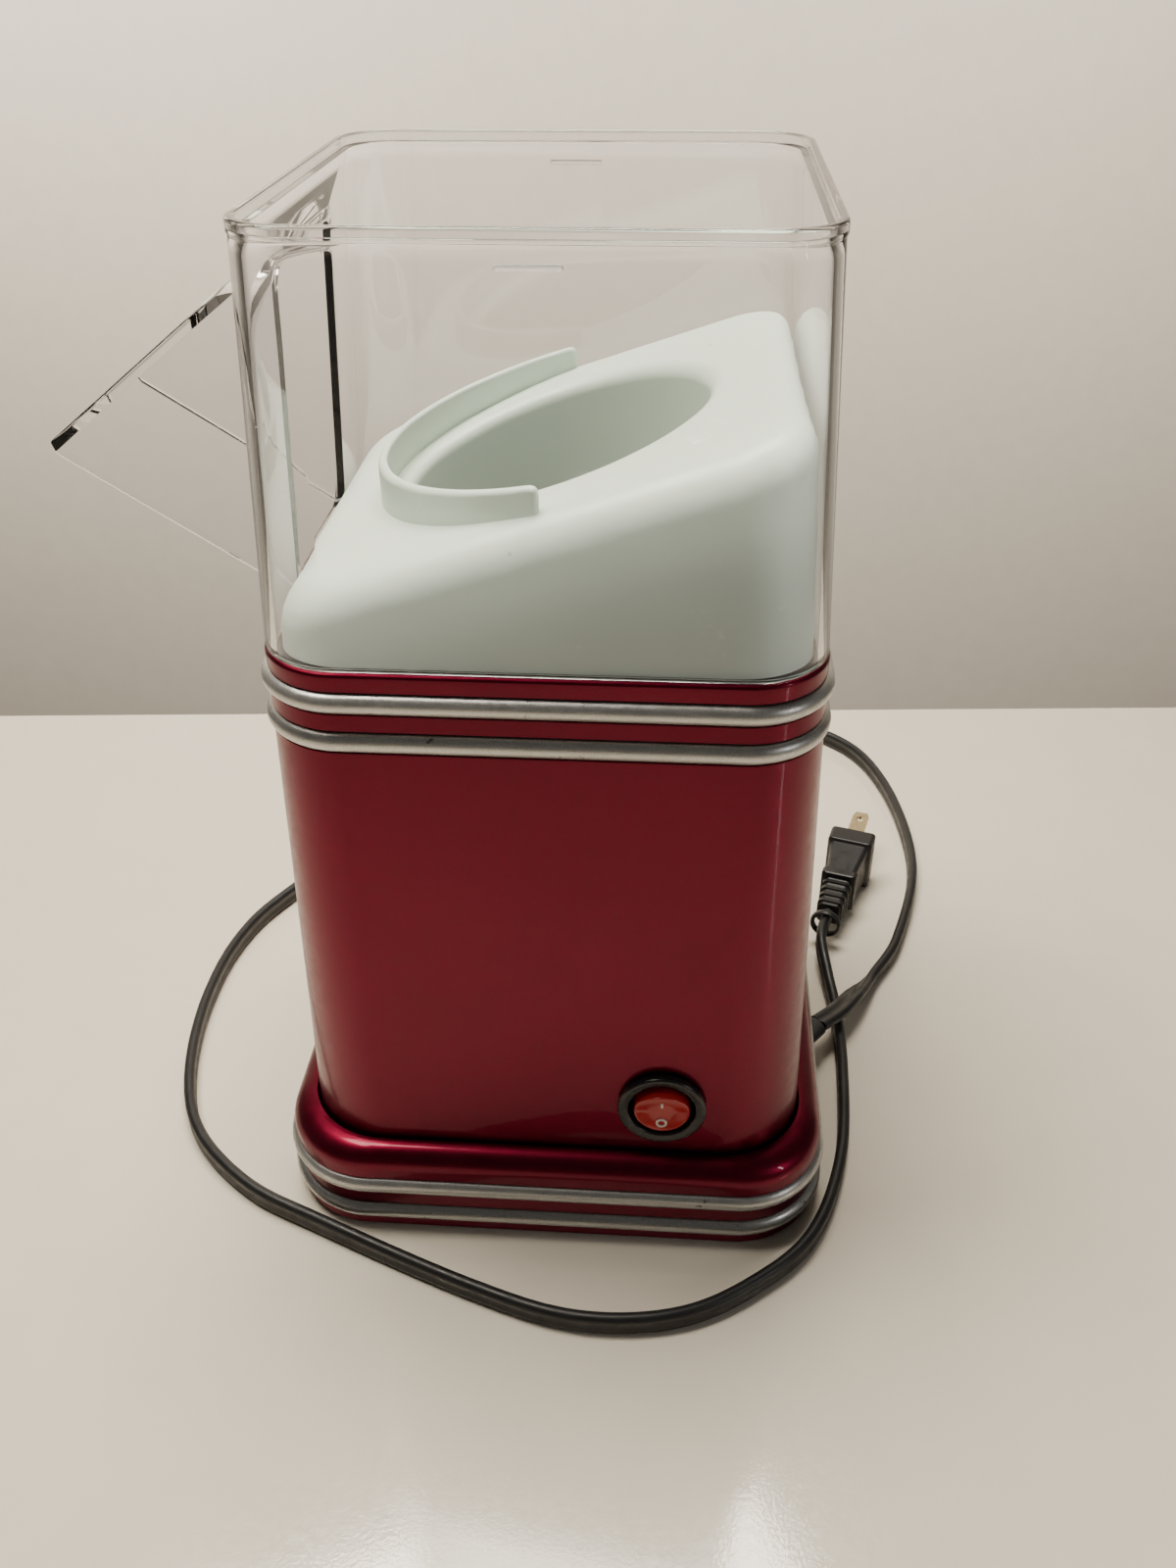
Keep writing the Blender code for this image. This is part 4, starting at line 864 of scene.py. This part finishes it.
def slope(x):
    return SLOPE_CENTRE + SLOPE_RISE * x


SIDE_STEPS = 8
INSERT_POINTS = 4 * (CORNER_STEPS + SIDE_STEPS)


def sloped_square(inset, drop):
    """A rounded square that lies in the slope, inset from the insert's drafted side."""
    points = []
    for index in range(INSERT_POINTS):
        height = SLOPE_CENTRE
        for _ in range(4):
            half = INSERT_HALF - INSERT_DRAFT * (height - COVER_LOW.z) - inset
            across = rounded_square(half, INSERT_CORNER - min(inset, INSERT_FILLET), SIDE_STEPS)[index]
            height = slope(across.x) - drop
        points.append((across.x, across.y, height))
    return points


def throat_circle(radius):
    angles = [math.radians(45) + math.tau * (index - CORNER_STEPS / 2) / INSERT_POINTS
              for index in range(INSERT_POINTS)]
    return [(radius * math.cos(angle), radius * math.sin(angle)) for angle in angles]


def sloped_circle(radius, drop):
    return [(x, y, slope(x) - drop) for x, y in throat_circle(radius)]


def level_circle(radius, height):
    return [(x, y, height) for x, y in throat_circle(radius)]


def level_square(half, height):
    return [(point.x, point.y, height) for point in rounded_square(half, INSERT_CORNER, SIDE_STEPS)]


def add_insert():
    turns = [math.radians(90 * step / 12) for step in range(13)]
    fillet = [sloped_square(INSERT_FILLET * (1 - math.cos(turn)), INSERT_FILLET * (1 - math.sin(turn)))
              for turn in turns]
    lip = [sloped_circle(THROAT_RADIUS + THROAT_LIP * (1 - math.sin(turn)), THROAT_LIP * (1 - math.cos(turn)))
           for turn in turns[::2]]
    low, bottom = COVER_LOW.z, INSERT_LOW.z
    under = INSERT_FILLET - INSERT_WALL
    rings = ([level_square(INSERT_HALF, low)] + fillet + lip
             + [level_circle(THROAT_RADIUS, bottom), level_circle(THROAT_RADIUS + INSERT_WALL, bottom),
                sloped_circle(THROAT_RADIUS + INSERT_WALL, 2 * THROAT_LIP),
                sloped_circle(THROAT_RADIUS + THROAT_LIP + INSERT_WALL, INSERT_WALL),
                sloped_square(INSERT_WALL + under, INSERT_WALL),
                sloped_square(INSERT_WALL + under / 3, INSERT_WALL + under / 3),
                sloped_square(INSERT_WALL, INSERT_FILLET), level_square(INSERT_HALF - INSERT_WALL, low)])
    look = mint_white()
    piece = loft("white_insert", rings, look, True, 45)
    show(piece, "cover_body", "white_plastic", "insert")
    show(add_guard(look), "cover_body", "white_plastic")


def add_guard(look):
    """The curved wall round the throat, with rounded top and ends."""
    steps, end_steps = 72, 8
    half_thick = GUARD_THICKNESS / 2
    middle = GUARD_RADIUS - half_thick
    turns = [-1 + 2 * step / steps for step in range(steps + 1)]
    end_turn = half_thick / middle / GUARD_HALF_TURN
    rings = []
    near_ends = [1 - end_turn * (1 - math.sin(math.radians(90 * step / end_steps)))
                 for step in range(end_steps)]
    for share in sorted(set(turns + near_ends + [-place for place in near_ends])):
        from_end = (1 - abs(share)) / end_turn
        thin = math.sqrt(max(1 - (1 - min(from_end, 1)) ** 2, 0.02))
        corner = min((1 - abs(share)) * GUARD_HALF_TURN * middle / 0.0025, 1)
        top = GUARD_LOW + (GUARD_TALL - GUARD_LOW) * math.cos(share * math.pi / 2)
        top -= 0.0025 * (1 - math.sqrt(1 - (1 - corner) ** 2))
        angle = math.pi + GUARD_HALF_TURN * share
        ring = []
        for offset, up in ([(-1, None), (1, None)] + arc((0, 0), 1, 0, 180, 8)):
            radius = middle + half_thick * thin * offset
            x = GUARD_CENTRE_X + radius * math.cos(angle)
            y = radius * math.sin(angle)
            height = -0.0010 if up is None else top - half_thick + half_thick * up
            ring.append((x, y, slope(x) + height))
        rings.append(ring)
    return loft("guard_wall", rings, look, False, 60)


# ---------------------------------------------------------------- switch and inside

def add_switch():
    face = Matrix.Rotation(math.radians(90), 3, "X")
    centre = (BEZEL_LOW + BEZEL_HIGH) / 2
    radius = (BEZEL_HIGH.x - BEZEL_LOW.x) / 2
    back = BEZEL_LOW.y + 0.0020
    profile = ([(0.0094, -0.013)] + [(0.0094, 0.0006)] + arc((0.0100, 0.0010), (0.0006, 0.0008), 180, 90, 4)
               + [(0.0112, 0.0020)] + arc((radius - 0.0008, 0.0012), 0.0008, 90, 0, 6)
               + [(radius, 0.0), (0.0101, 0.0), (0.0101, -0.013)])
    look = plain("bezel_black", (0.012, 0.012, 0.013), 0.24)
    bezel = turned("bezel", profile, Vector((centre.x, back, centre.z)), face, look, 72)
    show(bezel, "base", "black_plastic", "switch_bezel")
    cap, *place = rocker_piece(centre)
    show(cap, "rocker_body", "red_rocker", "rocker")
    for mark in add_marks(*place):
        show(mark, "rocker_body", "red_rocker")


def rocker_piece(centre):
    """The round rocker at rest, lower half pressed in: two flat faces that meet in a valley."""
    tilt = math.radians(9)
    pivot = Vector((centre.x, BEZEL_LOW.y + 0.0020 + 0.0010, centre.z))
    turn = Matrix.Rotation(tilt, 3, "X")
    count, radius, crease = 64, 0.0080, 0.0026
    angles = [math.tau * step / count for step in range(count)]
    rows = [[Vector((reach * math.cos(angle), depth, reach * math.sin(angle))) for angle in angles]
            for reach, depth in ((radius - 0.0004, 0.0012), (radius, 0.0008))]
    insets = ((0.0, 0.0006), (0.00012, 0.0003), (0.0004, 0.0001), (0.0009, 0.0), (0.003, 0.0), (0.006, 0.0))
    for inset, drop in insets:
        row = []
        for angle in angles:
            x = (radius - inset) * math.cos(angle)
            z = (radius - inset) * math.sin(angle)
            row.append(Vector((x, -crease - math.tan(tilt) * math.hypot(z, 0.0004) + drop, z)))
        rows.append(row)
    shape = bmesh.new()
    skin(shape, [[pivot + turn @ point for point in row] for row in rows], False)
    return add_mesh("red_rocker_cap", shape, red_lens(), 40), pivot, turn, crease, tilt


def add_marks(pivot, turn, crease, tilt):
    """The moulded line on the upper half and ring on the lower half."""
    look = plain("mark_white", (0.80, 0.74, 0.70), 0.5)
    lift = 0.00012
    bar = bmesh.new()
    bmesh.ops.create_cube(bar, size=1)
    bmesh.ops.scale(bar, vec=(0.0006, 0.0003, 0.0026), verts=bar.verts)
    bmesh.ops.translate(bar, vec=(0, 0, 0.0042), verts=bar.verts)
    ring = bmesh.new()
    rings = []
    edges = ((0.0003, -0.00015), (0.0003, 0.00015), (-0.0003, 0.00015), (-0.0003, -0.00015))
    for step in range(32):
        angle = math.tau * step / 32
        rings.append([((0.0013 + across) * math.cos(angle), up, -0.0042 + (0.0013 + across) * math.sin(angle))
                      for across, up in edges])
    skin(ring, rings, True)
    marks = []
    for name, shape in (("mark_on", bar), ("mark_off", ring)):
        for vert in shape.verts:
            surface = -crease - math.tan(tilt) * abs(vert.co.z)
            vert.co = pivot + turn @ Vector((vert.co.x, vert.co.y + surface - lift, vert.co.z))
        marks.append(add_mesh(name, shape, look, 30))
    return marks


def dress_inside():
    """Materials of the CAD nodes that stay: the ones seen through the throat, vents and gaps."""
    steel = metal("plain_steel", (0.58, 0.58, 0.59), 0.34)
    black = plain("black_moulding", (0.016, 0.016, 0.017), 0.55)
    aluminium = metal("drawn_aluminium", (0.72, 0.72, 0.73), 0.34)
    zinc = metal("zinc", (0.66, 0.66, 0.64), 0.3)
    terminal = metal("terminal_brass", (0.78, 0.60, 0.30), 0.3)
    looks = {
        "base_plate": black, "top_deck": black, "insert_ledge": black,
        "fan_housing": black, "rectifier": black, "switch_body": black,
        "chamber": aluminium, "heater_housing": steel, "motor_bracket": steel, "motor": steel,
        "motor_shaft": metal("ground_steel", (0.64, 0.64, 0.66), 0.20),
        "thermal_fuse": steel, "thermostat": steel,
        "fan": plain("fan_grey", (0.55, 0.55, 0.53), 0.5),
        "mica_cross": plain("mica_sheet", (0.55, 0.45, 0.30), 0.42),
        "heating_coil": metal("nichrome", (0.36, 0.32, 0.30), 0.42),
        "rectifier_board": plain("board_brown", (0.22, 0.15, 0.07), 0.55),
        "switch_terminal_1": terminal, "switch_terminal_2": terminal,
    }
    looks.update({f"base_screw_{index}": zinc for index in range(1, 5)})
    for name, look in looks.items():
        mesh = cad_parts[name].data
        mesh.materials.clear()
        mesh.materials.append(look)


add_camera()
cord_piece, cord_path, cord_length = add_cord()
relief = add_relief()
plug_body, plug_blades = add_plug()
tie = add_tie()
show(cord_piece, "base", "cord_rubber", "cord")
show(relief, "base", "cord_rubber", "strain_relief")
show(plug_body, "base", "cord_rubber", "plug_body")
show(tie, "base", "cord_rubber")
for number, blade in enumerate(plug_blades, 1):
    show(blade, "base", "brass", f"plug_blade_{number}")

add_lights()
add_stage()
add_body()
add_plinth()
add_beads()
add_feet()
add_cover()
add_insert()
add_switch()
dress_inside()
